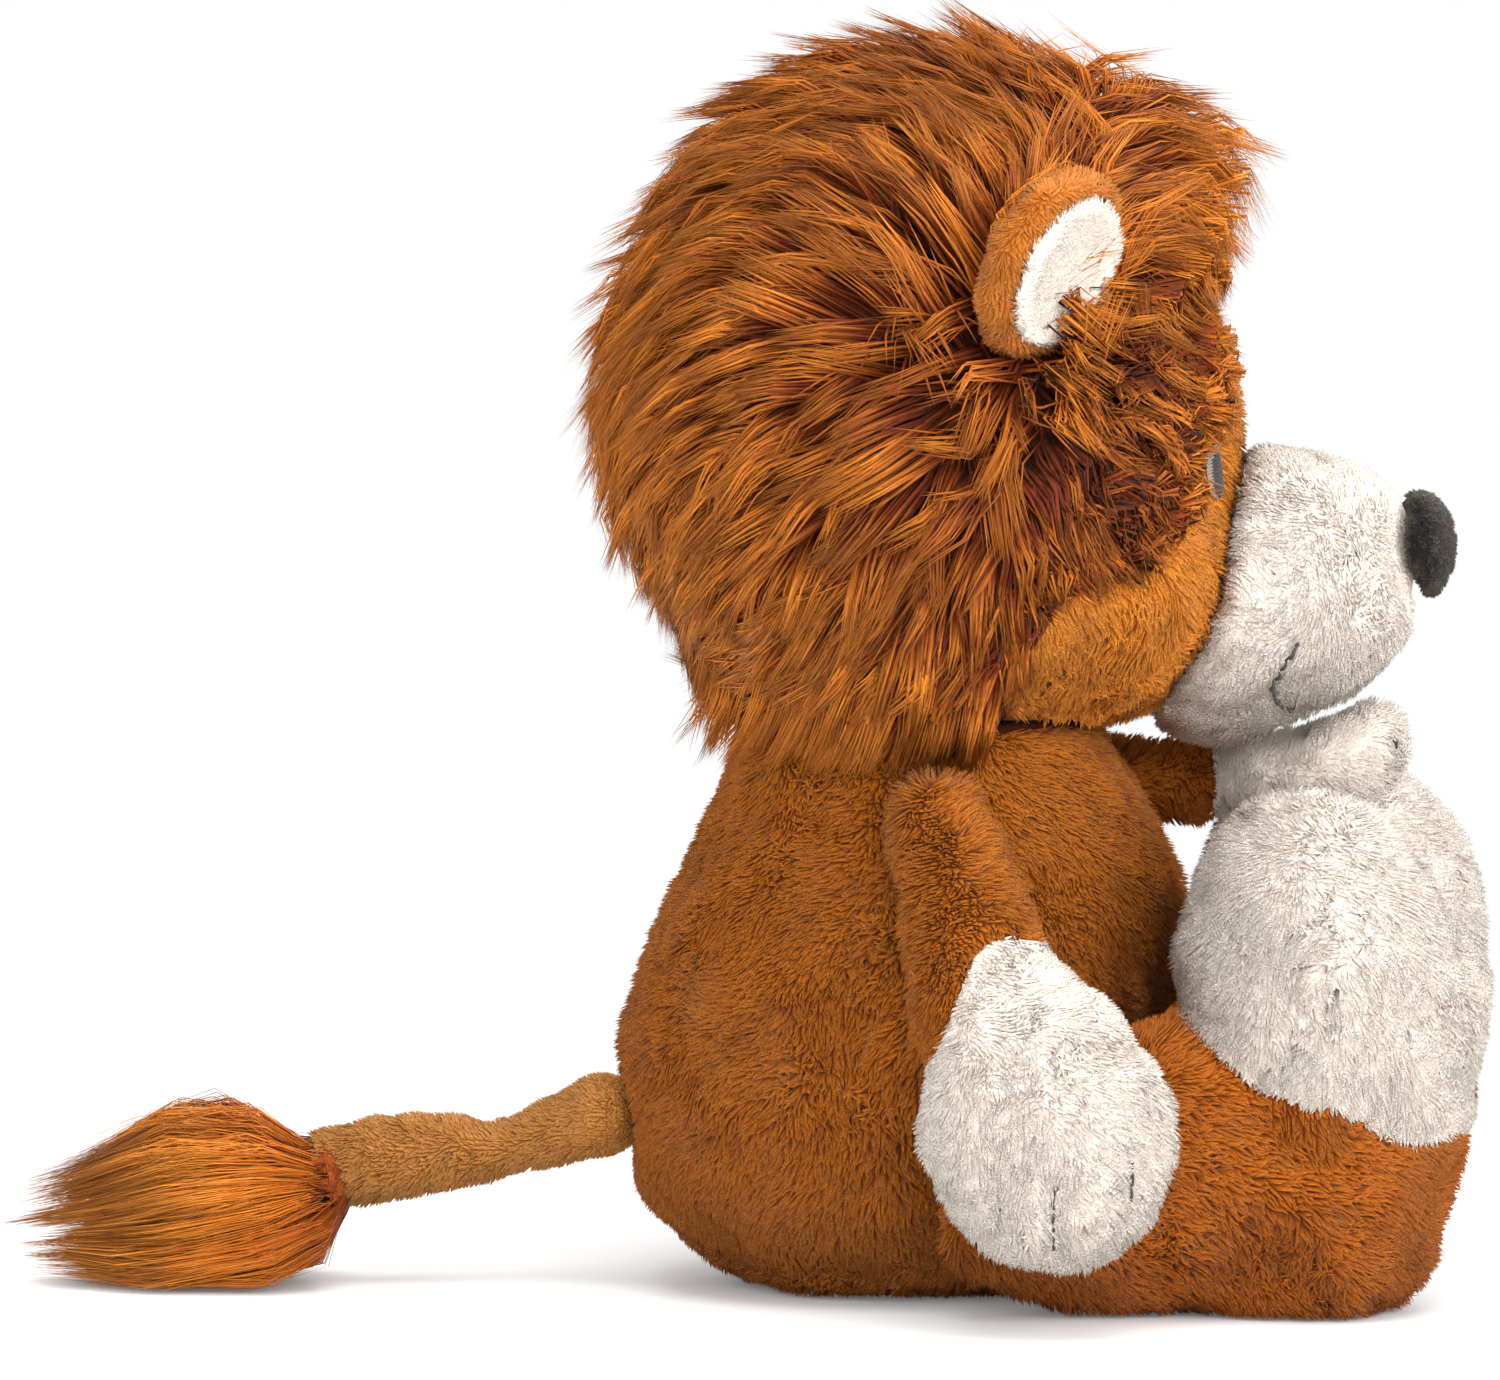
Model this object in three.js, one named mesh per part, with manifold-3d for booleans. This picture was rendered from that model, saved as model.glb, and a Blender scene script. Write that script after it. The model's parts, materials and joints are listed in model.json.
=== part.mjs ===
// Plush lion, sitting: a stuffed torso with a turning head, two arms, two legs and a tail.
// Millimetres, +Z up, +X out of the lion's face, +Y towards the lion's left side.
// The origin lies on the floor under the torso. Each sewn cover is a shell that is open where
// it is sewn on, and the filling lies inside it.
import * as THREE from 'three';
import { mergeVertices } from 'three/addons/utils/BufferGeometryUtils.js';
import Module from 'manifold-3d';

const wasm = await Module();
wasm.setup();

// Clearances and cloth
const gap = 0.3; // between pieces that touch
const cloth = 3; // plush fabric with its pile, backing to tips
const flat_cut = 0.5; // how deep the floor cuts the forms that stand on it
const overrun = 20; // how far a cutting tool runs past what it cuts
const thread = 0.6; // radius of an embroidered line
const weld_share = 0.001; // points closer than this share of the gap are one point
const plush_roughness = 0.95;

// Torso
const torso = { x: 1.4, height: 116, length: 118.6, width: 108 };
const torso_row_shares = [
  // height, back, front and side, as shares of the height, half length and half width
  [0, -0.53, 0.53, 0.54],
  [0.078, -0.75, 0.75, 0.76],
  [0.172, -0.934, 0.92, 0.926],
  [0.328, -1, 1, 1],
  [0.483, -0.976, 1, 0.99],
  [0.638, -0.858, 0.978, 0.926],
  [0.776, -0.732, 0.887, 0.824],
  [0.897, -0.64, 0.769, 0.713],
  [1, -0.563, 0.64, 0.6],
];
const pellets = { length: 62, width: 56, height: 15, mouth_share: 0.5 };

// Head, with the face fabric in front and the mane fabric behind
const neck = { x: 5, clear_radius: 42.4 };
const head = { x: 9.5, drop: 2, height: 126, length: 120, width: 116 };
const head_row_shares = [
  // height, back, front, side and fullness of the cheeks
  [0, -0.158, 0.508, 0.38],
  [0.024, -0.425, 0.675, 0.55],
  [0.063, -0.592, 0.808, 0.707, 0.05],
  [0.127, -0.742, 0.9, 0.845, 0.12],
  [0.206, -0.867, 0.95, 0.931, 0.15],
  [0.31, -0.95, 0.967, 0.983, 0.11],
  [0.429, -1, 1, 1],
  [0.524, -1, 0.983, 0.99],
  [0.619, -0.967, 0.942, 0.966],
  [0.714, -0.892, 0.858, 0.888],
  [0.81, -0.767, 0.725, 0.759],
  [0.897, -0.575, 0.542, 0.569],
  [0.96, -0.342, 0.308, 0.345],
  [1, 0, 0, 0],
];
const hair = { above: 17, lengthwise: 15, sideways: 29 }; // how much larger the mane is than the head
const mane = {
  x: 1.5,
  drop: 4,
  height: head.height + hair.above,
  length: head.length + hair.lengthwise,
  width: head.width + hair.sideways,
};
const mane_locks = { depth: 4.5, first_row: 2 }; // every other corner is drawn in between the locks
const mane_row_shares = [
  [0, -0.45, 0.52, 0.62],
  [0.05, -0.56, 0.62, 0.7],
  [0.126, -0.704, 0.807, 0.81],
  [0.217, -0.852, 0.911, 0.91],
  [0.301, -0.941, 0.956, 0.966],
  [0.406, -0.993, 0.985, 1],
  [0.51, -0.99, 0.985, 1],
  [0.615, -0.933, 1, 0.965],
  [0.713, -0.852, 1.044, 0.883],
  [0.79, -0.778, 1.081, 0.786],
  [0.86, -0.644, 1.015, 0.65],
  [0.916, -0.496, 0.881, 0.5],
  [0.962, -0.304, 0.659, 0.33],
  [1, 0.11, 0.11, 0],
];
// The seam between face and mane in side view, as shares of the head's half length and height
const face_seam_shares = [
  [0.175, -0.2],
  [0.19, 0.215],
  [0.625, 0.294],
  [0.8, 0.32],
  [0.8, 0.69],
  [1.6, 0.76],
];

// Muzzle, nose, mouth and eyes
const muzzle_place_shares = { forward: 0.608, up: 0.2 }; // of the head's half length and height
const muzzle = {
  back: head.x + muzzle_place_shares.forward * (head.length / 2),
  z: torso.height - head.drop + muzzle_place_shares.up * head.height,
  length: 59,
  height: 59.5,
  width: 64,
};
const muzzle_row_shares = [
  // length, bottom, top and side, as shares of the length, half height and half width
  [0, -0.71, 0.7, 0.62],
  [0.13, -0.9, 0.9, 0.85],
  [0.31, -1.02, 0.983, 0.96],
  [0.45, -0.96, 1, 1],
  [0.58, -0.88, 0.987, 0.96],
  [0.7, -0.785, 0.93, 0.85],
  [0.82, -0.635, 0.835, 0.65],
  [0.91, -0.45, 0.72, 0.42],
  [0.97, -0.24, 0.6, 0.24],
  [1, 0.18, 0.18, 0],
];
const nose = { depth: 21, width: 29, height: 25, set_back: 4, rise_share: 0.31 };
// Half of the smile: place along the muzzle, and turn from its underside as a share of a right angle
const mouth_shares = [
  [0.67, 0],
  [0.62, 0.2],
  [0.52, 0.38],
  [0.481, 0.53],
  [0.515, 0.66],
  [0.561, 0.77],
];
const eye = { width: 9, height: 12.5, thickness: 3, side_share: 0.43, rise_share: 0.4 };
const pupil = { width: 6, height: 8.5, thickness: 2.4 };

// Ears: a dished pad with a white lining in the dish
const ear_place_shares = { aside: 0.855, up: 0.6755 }; // of the mane's half width and height
const ear = {
  x: 28.6,
  y: ear_place_shares.aside * (mane.width / 2),
  z: torso.height - mane.drop + ear_place_shares.up * mane.height,
  height: 41,
  width: 38,
  depth: 18,
  rim: 3.6,
  dish: 4.5,
};
const ear_lining = { thickness: 1.8 };
const ear_tilt_shares = { up: [0.28, 0.3, 0.91], face: [0.75, 0.62, 0] };

// Arms: rows along a path from the shoulder ball to the paw's tip
const shoulder = { x: 7, y: 47, z: 98, ball: 10.7 };
const hanging_arm = { reach: 23, spread: 40, drop: 85.5, width: 53, thickness: 28, turn: 45 };
const hanging_arm_shares = [
  // reach, spread, drop, half width, half thickness
  [0, 0, 0, 0.42, 0.76],
  [0.09, 0.2, 0.07, 0.43, 0.76],
  [0.22, 0.42, 0.19, 0.5, 0.76],
  [0.43, 0.68, 0.38, 0.66, 0.8],
  [0.7, 0.86, 0.5, 0.86, 0.93],
  [0.86, 0.93, 0.61, 1, 1],
  [0.96, 0.98, 0.74, 0.96, 1],
  [1, 1, 0.86, 0.83, 0.9],
  [1, 1, 0.96, 0.52, 0.6],
  [1, 1, 1, 0, 0],
];
// The seam between sleeve and paw in side view: place ahead of the shoulder's X and drop below its Z
const hanging_seam = [
  { x: -17, drop: 81 },
  { x: 8.4, drop: 20.4 },
  { x: 18.4, drop: 21 },
  { x: 50.4, drop: 53 },
];
const paw_middle = { x: 12, drop: 68 }; // the paw's side of the seam widens away from here
const seam_widening_share = 1.4; // of the gap, so that slanting seams keep it too
const raised_arm = { reach: 97, inward: 41, rise: 12, width: 25.4, thickness: 20.4, turn: 70 };
const raised_tilt_shares = [-0.28, -0.62]; // lean of the axis it swings about, for each mm up
const raised_arm_shares = [
  // reach, inward, rise, half width, half thickness
  [0, 0, 0, 0.8, 0.95],
  [0.1, 0, 0, 0.78, 0.92],
  [0.24, 0.06, 0.005, 0.75, 0.9],
  [0.4, 0.24, 0.02, 0.75, 0.86],
  [0.57, 0.48, 0.06, 0.78, 0.84],
  [0.68, 0.66, 0.2, 0.92, 0.94],
  [0.79, 0.82, 0.32, 1, 0.96],
  [0.89, 0.93, 0.72, 0.9, 1],
  [0.96, 0.98, 0.95, 0.6, 0.72],
  [1, 1, 1, 0, 0],
];
const raised_seam = { x: 63.5 };

// Legs: a brown tube along the floor and a foot that stands up on its heel
const hip = { x: 24, z: 24, turn: 65 }; // the leg swings down by the turn, in degrees
const swing_gap = 0.8; // between a swinging limb and the torso beside it
const swing_steps = 4;
const leg = { back: 4, length: 76, height: 60.5, outside: 72.5, width: 50.5 };
const leg_row_shares = [
  // length, bottom and top, then inner and outer side, as shares of length, height and width
  [0, 0.25, 0.25, 0.45, 0.45],
  [0.05, 0.17, 0.48, 0.17, 0.8],
  [0.13, 0.09, 0.6, 0.1, 0.92],
  [0.26, 0.03, 0.72, 0.06, 0.98],
  [0.42, 0, 0.85, 0.04, 1],
  [0.58, 0, 1, 0.02, 1],
  [0.74, 0, 0.98, 0.04, 0.98],
  [0.9, 0.06, 0.74, 0.12, 0.88],
  [1, 0.4, 0.4, 0.5, 0.5],
];
const foot = { x: 81.5, y: 43.5, height: 104, length: 63, width: 58 };
const foot_row_shares = [
  [0, -0.746, 0.492, 0.66],
  [0.1, -0.937, 0.65, 0.86],
  [0.215, -1, 0.794, 0.96],
  [0.368, -1, 0.937, 1],
  [0.54, -1, 1, 1],
  [0.694, -1, 0.937, 0.98],
  [0.81, -0.92, 0.81, 0.91],
  [0.895, -0.794, 0.635, 0.78],
  [0.957, -0.556, 0.397, 0.56],
  [1, -0.05, -0.05, 0],
];
const leg_pose = {
  right: { forward: 3, spread: 0 },
  left: { forward: 9, spread: 3.5 },
};
// The seam between leg and foot in side view, as shares of the foot's half length and height
const foot_seam_shares = [
  [-1.5, 0.74],
  [-1.04, 0.66],
  [-0.87, 0.55],
  [-0.55, 0.455],
  [0.1, 0.4],
  [0.32, 0.345],
  [1.5, 0.37],
];

// Tail
const tail = { x: 59.5, z: 34, ball: 9.5, length: 66, drop: 11, thickness: 19 };
const tail_shares = [
  // length, drop, half thickness
  [0, 0, 0.97],
  [0.15, 0.33, 0.78],
  [0.29, 0.62, 0.6],
  [0.41, 0.66, 0.8],
  [0.54, 0.69, 0.92],
  [0.67, 0.82, 0.99],
  [0.8, 0.94, 0.88],
  [0.92, 1, 0.8],
  [1, 1, 0],
];
const tuft = { front: 111.5, length: 65, height: 39.5, width: 48 };
const tuft_locks = { depth: 3 };
const tuft_row_shares = [
  [0, 0.22, 0.22, 0],
  [0.04, 0.06, 0.48, 0.42],
  [0.12, 0, 0.72, 0.62],
  [0.24, 0, 0.9, 0.84],
  [0.4, 0, 1, 1],
  [0.55, 0, 0.96, 1],
  [0.7, 0, 0.83, 0.86],
  [0.83, 0, 0.62, 0.64],
  [0.93, 0.02, 0.45, 0.38],
  [1, 0.22, 0.22, 0],
];

// Toe stitches: two lines on each paw and foot
const paw_toes = [
  // along the paw's width, then the upper and lower end above the paw's tip
  { name: 'front', along: 15, upper: 24, lower: 13 },
  { name: 'back', along: -1, upper: 19, lower: 5 },
];
const raised_toes = { length: 8, spacing: 8, below_tip: 4 };
const foot_toes = { length: 18, spacing: 19, below_top: 14 };
const stitch_points = 5;

// How many sides each round form has
const sides = {
  torso: 16,
  head: 16,
  mane: 32,
  muzzle: 12,
  arm: 10,
  leg: 10,
  foot: 12,
  tail: 8,
  pocket: 10,
  tuft: 20,
  ball: 10,
  pad: 10,
  thread: 3,
};

const colours = {
  brown: '#8b5220',
  mane: '#86441a',
  gold: '#bc6f2a',
  cream: '#ebe2d8',
  white: '#f1e7dd',
  black: '#2b292a',
  filling: '#e8e6e1',
  grey: '#a7a3a0',
  tail: '#bd7f45',
};

const lion = new THREE.Group();

// Closed body from rings of points; a ring of no size becomes the tip
function loft(rings) {
  const positions = [];
  const index = [];
  const starts = [];
  for (const ring of rings) {
    starts.push({ start: positions.length / 3, count: ring.length });
    for (const point of ring) positions.push(point.x, point.y, point.z);
  }
  const cap = (row, flip) => {
    if (row.count === 1) return;
    for (let i = 1; i < row.count - 1; i += 1) {
      const fan = [row.start, row.start + i, row.start + i + 1];
      index.push(...(flip ? fan.reverse() : fan));
    }
  };
  cap(starts[0], true);
  for (let k = 0; k < starts.length - 1; k += 1) {
    const low = starts[k];
    const high = starts[k + 1];
    const count = Math.max(low.count, high.count);
    for (let i = 0; i < count; i += 1) {
      const next = (i + 1) % count;
      const a = low.start + (low.count > 1 ? i : 0);
      const b = low.start + (low.count > 1 ? next : 0);
      const c = high.start + (high.count > 1 ? next : 0);
      const d = high.start + (high.count > 1 ? i : 0);
      if (low.count > 1) index.push(a, b, c);
      if (high.count > 1) index.push(a, c, d);
    }
  }
  cap(starts[starts.length - 1], false);
  const geometry = new THREE.BufferGeometry();
  geometry.setAttribute('position', new THREE.Float32BufferAttribute(positions, 3));
  geometry.setIndex(index);
  return solid(geometry);
}

// Ring round a centre, along two half axes
function ring(centre, along, across, count) {
  if (along.length() === 0 || across.length() === 0) return [centre];
  const points = [];
  for (let i = 0; i < count; i += 1) {
    const turn = (i / count) * Math.PI * 2;
    const point = centre.clone().addScaledVector(along, Math.cos(turn));
    points.push(point.addScaledVector(across, Math.sin(turn)));
  }
  return points;
}

const vector = (x, y, z) => new THREE.Vector3(x, y, z);
const grownHalf = (half, grow) => (half === 0 ? 0 : Math.max(half + grow, thread));

// Level rings from rows of [height, back, front, side] shares; grow moves the whole skin outwards
function levelRings(size, rowShares, place, grow, count) {
  return rowShares.map(([up, back, front, side, cheek = 0]) => {
    const z = place.z - grow + up * (size.height + 2 * grow);
    const x = place.x + ((back + front) / 2) * (size.length / 2);
    const half = grownHalf(((front - back) / 2) * (size.length / 2), grow);
    const across = grownHalf(side * (size.width / 2), grow);
    const points = ring(vector(x, place.y, z), vector(half, 0, 0), vector(0, across, 0), count);
    return cheek ? fullFront(points, vector(x, place.y, z), half, across, cheek) : points;
  });
}

// Rounds out the front corners of a ring
function fullFront(points, middle, half, across, cheek) {
  return points.map((point) => {
    const from = point.clone().sub(middle);
    const corner = Math.max(from.x / half, 0) * (from.y / across);
    return middle.clone().addScaledVector(from, 1 + cheek * 4 * corner ** 2);
  });
}

function levelForm(size, rowShares, place, grow, count) {
  return loft(levelRings(size, rowShares, place, grow, count));
}

// Long fur: every other corner of each ring is drawn in, and stagger moves the locks on from row to row
function locked(rings, depth, stagger) {
  return rings.map((points, row) => {
    const middle = points.reduce((sum, point) => sum.add(point), vector(0, 0, 0)).divideScalar(points.length);
    return points.map((point, k) => {
      const reach = middle.distanceTo(point);
      const drawn = (k + row * stagger) % 2 ? Math.min(depth, reach / 2) : 0;
      return reach > 0 ? point.clone().lerp(middle, drawn / reach) : point;
    });
  });
}

// Upright rings along X from rows of [length, bottom, top, inner, outer] shares
function lengthRings(rows, grow, count) {
  const ends = [rows[0].x, rows[rows.length - 1].x];
  const middle = (ends[0] + ends[1]) / 2;
  const stretch = (ends[1] - ends[0] + 2 * grow * Math.sign(ends[1] - ends[0])) / (ends[1] - ends[0]);
  return rows.map((row) => {
    const x = middle + (row.x - middle) * stretch;
    const up = grownHalf((row.top - row.bottom) / 2, grow);
    const across = grownHalf((row.outer - row.inner) / 2, grow);
    const centre = vector(x, (row.inner + row.outer) / 2, (row.top + row.bottom) / 2);
    return ring(centre, vector(0, across, 0), vector(0, 0, up), count);
  });
}

function lengthForm(rows, grow, count) {
  return loft(lengthRings(rows, grow, count));
}

// Body along a path: rows of { at, half, thick } with the half axis turned to a width direction
function pathForm(rows, widthDirection, grow, count, tailRun) {
  const last = rows.length - 1;
  const rings = rows.map((row, k) => {
    const before = rows[Math.max(k - 1, 0)].at;
    const after = rows[Math.min(k + 1, last)].at;
    const tangent = after.clone().sub(before).normalize();
    const along = widthDirection.clone().addScaledVector(tangent, -widthDirection.dot(tangent)).normalize();
    const across = tangent.clone().cross(along);
    const half = grownHalf(row.half, grow);
    const thick = grownHalf(row.thick, grow);
    const centre = row.at.clone();
    if (k === 0) centre.addScaledVector(tangent, -tailRun);
    if (k === last) centre.addScaledVector(tangent, grow);
    return ring(centre, along.multiplyScalar(half), across.multiplyScalar(thick), count);
  });
  return loft(rings);
}

// Geometry to solid and back
function solid(geometry) {
  geometry.deleteAttribute('normal');
  geometry.deleteAttribute('uv');
  const merged = mergeVertices(geometry, gap * weld_share);
  const vertProperties = new Float32Array(merged.attributes.position.array);
  const triVerts = new Uint32Array(merged.index.array);
  const body = new wasm.Manifold(new wasm.Mesh({ numProp: 3, vertProperties, triVerts }));
  return body;
}

function geometryOf(body) {
  const { vertProperties, triVerts, numProp } = body.getMesh();
  const geometry = new THREE.BufferGeometry();
  const positions = new Float32Array((vertProperties.length / numProp) * 3);
  for (let i = 0; i < positions.length / 3; i += 1) {
    for (let k = 0; k < 3; k += 1) positions[i * 3 + k] = vertProperties[i * numProp + k];
  }
  geometry.setAttribute('position', new THREE.BufferAttribute(positions, 3));
  geometry.setIndex(new THREE.BufferAttribute(new Uint32Array(triVerts), 1));
  geometry.computeVertexNormals();
  return geometry;
}

function add(name, body, colour) {
  const finish = { color: colours[colour], roughness: plush_roughness, metalness: 0 };
  const material = new THREE.MeshStandardMaterial(finish);
  const mesh = new THREE.Mesh(geometryOf(body), material);
  mesh.name = name;
  lion.add(mesh);
}

// Slab under the floor that cuts standing forms flat
function floorSlab() {
  const deep = overrun;
  const wide = (tuft.front + tuft.length + foot.x + foot.length) * 2;
  return solid(new THREE.BoxGeometry(wide, wide, deep).translate(0, 0, -deep / 2));
}

// Prism through the whole width from an outline in side view
function sideCut(points, halfWidth) {
  const outline = new THREE.Shape(points.map(([x, z]) => new THREE.Vector2(x, z)));
  const prism = new THREE.ExtrudeGeometry(outline, { depth: 2 * halfWidth, bevelEnabled: false });
  prism.rotateX(Math.PI / 2);
  prism.translate(0, halfWidth, 0);
  return solid(prism);
}

function ball(radius, x, y, z) {
  return solid(new THREE.SphereGeometry(radius, sides.ball, sides.ball).translate(x, y, z));
}

// Round hollow in which a faceted ball can turn
function socket(radius, x, y, z) {
  const facet = Math.cos(Math.PI / sides.ball) * Math.cos(Math.PI / (2 * sides.ball));
  return ball((radius + gap) / facet, x, y, z);
}

// The same body turned about an axis through a point, in degrees
function turned(body, point, axis, degrees) {
  const turn = new THREE.Matrix4().makeRotationAxis(axis, THREE.MathUtils.degToRad(degrees));
  const there = new THREE.Matrix4().makeTranslation(point);
  const back = new THREE.Matrix4().makeTranslation(point.clone().negate());
  return body.transform(there.multiply(turn).multiply(back).elements);
}

// What a body leaves clear of a torso that it swings beside, up to a turn
function clearOfTorso(body, point, axis, degrees) {
  const skin = torsoForm(swing_gap);
  let left = body;
  for (let step = 0; step <= swing_steps; step += 1) {
    left = left.subtract(turned(skin, point, axis, (-degrees * step) / swing_steps));
  }
  return left;
}

// Oval pad from three square axes and its half sizes along them
function pad(centre, along, across, normal, halves) {
  const [a, b, c] = halves;
  const geometry = new THREE.SphereGeometry(1, sides.pad, sides.pad / 2);
  const basis = new THREE.Matrix4().makeBasis(
    along.clone().multiplyScalar(a),
    across.clone().multiplyScalar(b),
    normal.clone().multiplyScalar(c),
  );
  return solid(geometry.applyMatrix4(basis.setPosition(centre)));
}

function stitch(points) {
  const path = new THREE.CatmullRomCurve3(points);
  const section = new THREE.Shape();
  section.absarc(0, 0, thread, 0, Math.PI * 2);
  const steps = (points.length - 1) * 2;
  const line = { steps, curveSegments: sides.thread, bevelEnabled: false, extrudePath: path };
  return solid(new THREE.ExtrudeGeometry(section, line));
}

// Torso
const floor = floorSlab();
const torsoPlace = { x: torso.x, y: 0, z: -flat_cut };
const torsoSize = { ...torso, height: torso.height + flat_cut };
const torsoForm = (grow) => levelForm(torsoSize, torso_row_shares, torsoPlace, grow, sides.torso);

// Round post through the neck opening, from inside the torso up to a height
function neckPost(grow, top) {
  const [, back, front, side] = torso_row_shares.at(-1);
  const x = torso.x + ((back + front) / 2) * (torso.length / 2);
  const halfX = ((front - back) / 2) * (torso.length / 2) + grow;
  const halfY = side * (torso.width / 2) + grow;
  const post = new THREE.CylinderGeometry(1, 1, overrun, sides.torso).rotateX(Math.PI / 2);
  return solid(post.scale(halfX, halfY, 1).translate(x, 0, top - overrun / 2));
}

function buildTorso() {
  const sockets = [
    socket(shoulder.ball, shoulder.x, -shoulder.y, shoulder.z),
    socket(shoulder.ball, shoulder.x, shoulder.y, shoulder.z),
    socket(tail.ball, -tail.x, 0, tail.z),
  ];
  const bagZ = cloth + gap * 2 + pellets.height / 2;
  const bagPad = (grow) =>
    pad(vector(torso.x, 0, bagZ), vector(1, 0, 0), vector(0, 1, 0), vector(0, 0, 1), [
      pellets.length / 2 + grow,
      pellets.width / 2 + grow,
      pellets.height / 2 + grow,
    ]);
  const pocket = new THREE.CylinderGeometry(1, 1, pellets.height, sides.pocket).rotateX(Math.PI / 2);
  const mouth = [pellets.length, pellets.width].map((across) => (across / 2) * pellets.mouth_share);
  pocket.scale(...mouth, 1).translate(torso.x, 0, cloth);
  let cover = torsoForm(0).subtract(torsoForm(-cloth)).subtract(floor);
  cover = cover.subtract(neckPost(-cloth, torso.height + cloth));
  let filling = torsoForm(-cloth - gap).add(neckPost(-cloth - gap, torso.height));
  filling = filling.subtract(bagPad(gap)).subtract(solid(pocket));
  for (const hollow of sockets) {
    cover = cover.subtract(hollow);
    filling = filling.subtract(hollow);
  }
  add('torso_cover', cover, 'brown');
  add('torso_filling', filling, 'filling');
  add('seat_pellet_bag', bagPad(0), 'grey');
}

// Head
const headBottom = torso.height - head.drop;
const headPlace = { x: head.x, y: 0, z: headBottom };
const headForm = (grow) => levelForm(head, head_row_shares, headPlace, grow, sides.head);
const headCore = (grow) => {
  // The same skin moved inwards, but still open at the neck
  const place = { ...headPlace, z: headBottom + grow };
  const size = { ...head, height: head.height - grow };
  return levelForm(size, head_row_shares, place, grow, sides.head);
};

// Round space that the head keeps free as it turns on the neck
function neckSpace() {
  const low = torso.height - overrun;
  const tall = overrun + gap;
  const disc = new THREE.CylinderGeometry(neck.clear_radius, neck.clear_radius, tall, sides.torso * 2);
  return solid(disc.rotateX(Math.PI / 2).translate(neck.x, 0, low + tall / 2));
}

// Front of the head, ahead of and below the seam between the face and the mane
function faceSide(shift) {
  const outline = face_seam_shares.map(([along, up]) => [
    head.x + along * (head.length / 2) + shift * (along < 1 ? -1 : 0),
    headBottom + up * head.height + shift,
  ]);
  const [endX] = outline.at(-1);
  outline.push([endX, outline[0][1]]);
  return sideCut(outline, mane.width);
}

function earFrame(side) {
  const up = vector(ear_tilt_shares.up[0], side * ear_tilt_shares.up[1], ear_tilt_shares.up[2]).normalize();
  const facing = vector(ear_tilt_shares.face[0], side * ear_tilt_shares.face[1], ear_tilt_shares.face[2]);
  const out = facing.addScaledVector(up, -facing.dot(up)).normalize();
  const across = up.clone().cross(out);
  return { up, out, across, centre: vector(ear.x, side * ear.y, ear.z) };
}

// Ear pad: the whole pad, the dish in it and the hollow inside the lining
function earPad(side, grow, forward) {
  const { up, out, across, centre } = earFrame(side);
  const at = centre.clone().addScaledVector(out, forward);
  return pad(at, across, up, out, [ear.width / 2 + grow, ear.height / 2 + grow, ear.depth / 2 + grow]);
}

function buildEar(name, side, headSkin) {
  const whole = earPad(side, 0, 0);
  const dish = earPad(side, -ear.rim, ear.dish);
  const back = whole.subtract(dish).subtract(headSkin);
  const liningOuter = earPad(side, -ear.rim - gap, ear.dish);
  const liningInner = earPad(side, -ear.rim - gap - ear_lining.thickness, ear.dish + ear_lining.thickness);
  const lining = liningOuter.subtract(liningInner).intersect(whole).subtract(headSkin);
  add(`ear_back_${name}`, back, 'tail');
  add(`ear_lining_${name}`, lining, 'white');
}

function muzzleForm(grow) {
  const rows = muzzle_row_shares.map(([along, bottom, top, side]) => ({
    x: muzzle.back + along * muzzle.length,
    bottom: muzzle.z + bottom * (muzzle.height / 2),
    top: muzzle.z + top * (muzzle.height / 2),
    inner: -side * (muzzle.width / 2),
    outer: side * (muzzle.width / 2),
  }));
  return lengthForm(rows, grow, sides.muzzle);
}

// Point on the muzzle's skin: place along it, and turn from its underside
function muzzlePoint(along, turn, out) {
  const rows = muzzle_row_shares;
  let k = 0;
  while (k < rows.length - 2 && rows[k + 1][0] < along) k += 1;
  const blend = (along - rows[k][0]) / (rows[k + 1][0] - rows[k][0]);
  const mix = (column) => rows[k][column] + (rows[k + 1][column] - rows[k][column]) * blend;
  const middle = muzzle.z + ((mix(1) + mix(2)) / 2) * (muzzle.height / 2);
  const up = ((mix(2) - mix(1)) / 2) * (muzzle.height / 2) + out;
  const across = mix(3) * (muzzle.width / 2) + out;
  const x = muzzle.back + along * muzzle.length;
  return vector(x, across * Math.sin(turn), middle - up * Math.cos(turn));
}

function buildEye(name, side, headSkin) {
  const z = headBottom + eye.rise_share * head.height;
  const y = side * eye.side_share * (head.width / 2);
  const x = head.x + (head.length / 2) * Math.sqrt(1 - eye.side_share ** 2);
  const normal = vector((x - head.x) / (head.length / 2) ** 2, y / (head.width / 2) ** 2, 0).normalize();
  const up = vector(0, 0, 1);
  const across = up.clone().cross(normal);
  const at = vector(x, y, z);
  const eyePad = (grow) =>
    pad(at, across, up, normal, [eye.width / 2 + grow, eye.height / 2 + grow, eye.thickness / 2 + grow]);
  const front = at.clone().addScaledVector(normal, eye.thickness / 2);
  const half = [pupil.width / 2, pupil.height / 2, pupil.thickness / 2];
  const pupilPad = pad(front, across, up, normal, half);
  add(`eye_${name}`, eyePad(0).subtract(headSkin), 'grey');
  add(`pupil_${name}`, pupilPad.subtract(eyePad(gap)).subtract(headSkin), 'black');
}

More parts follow.
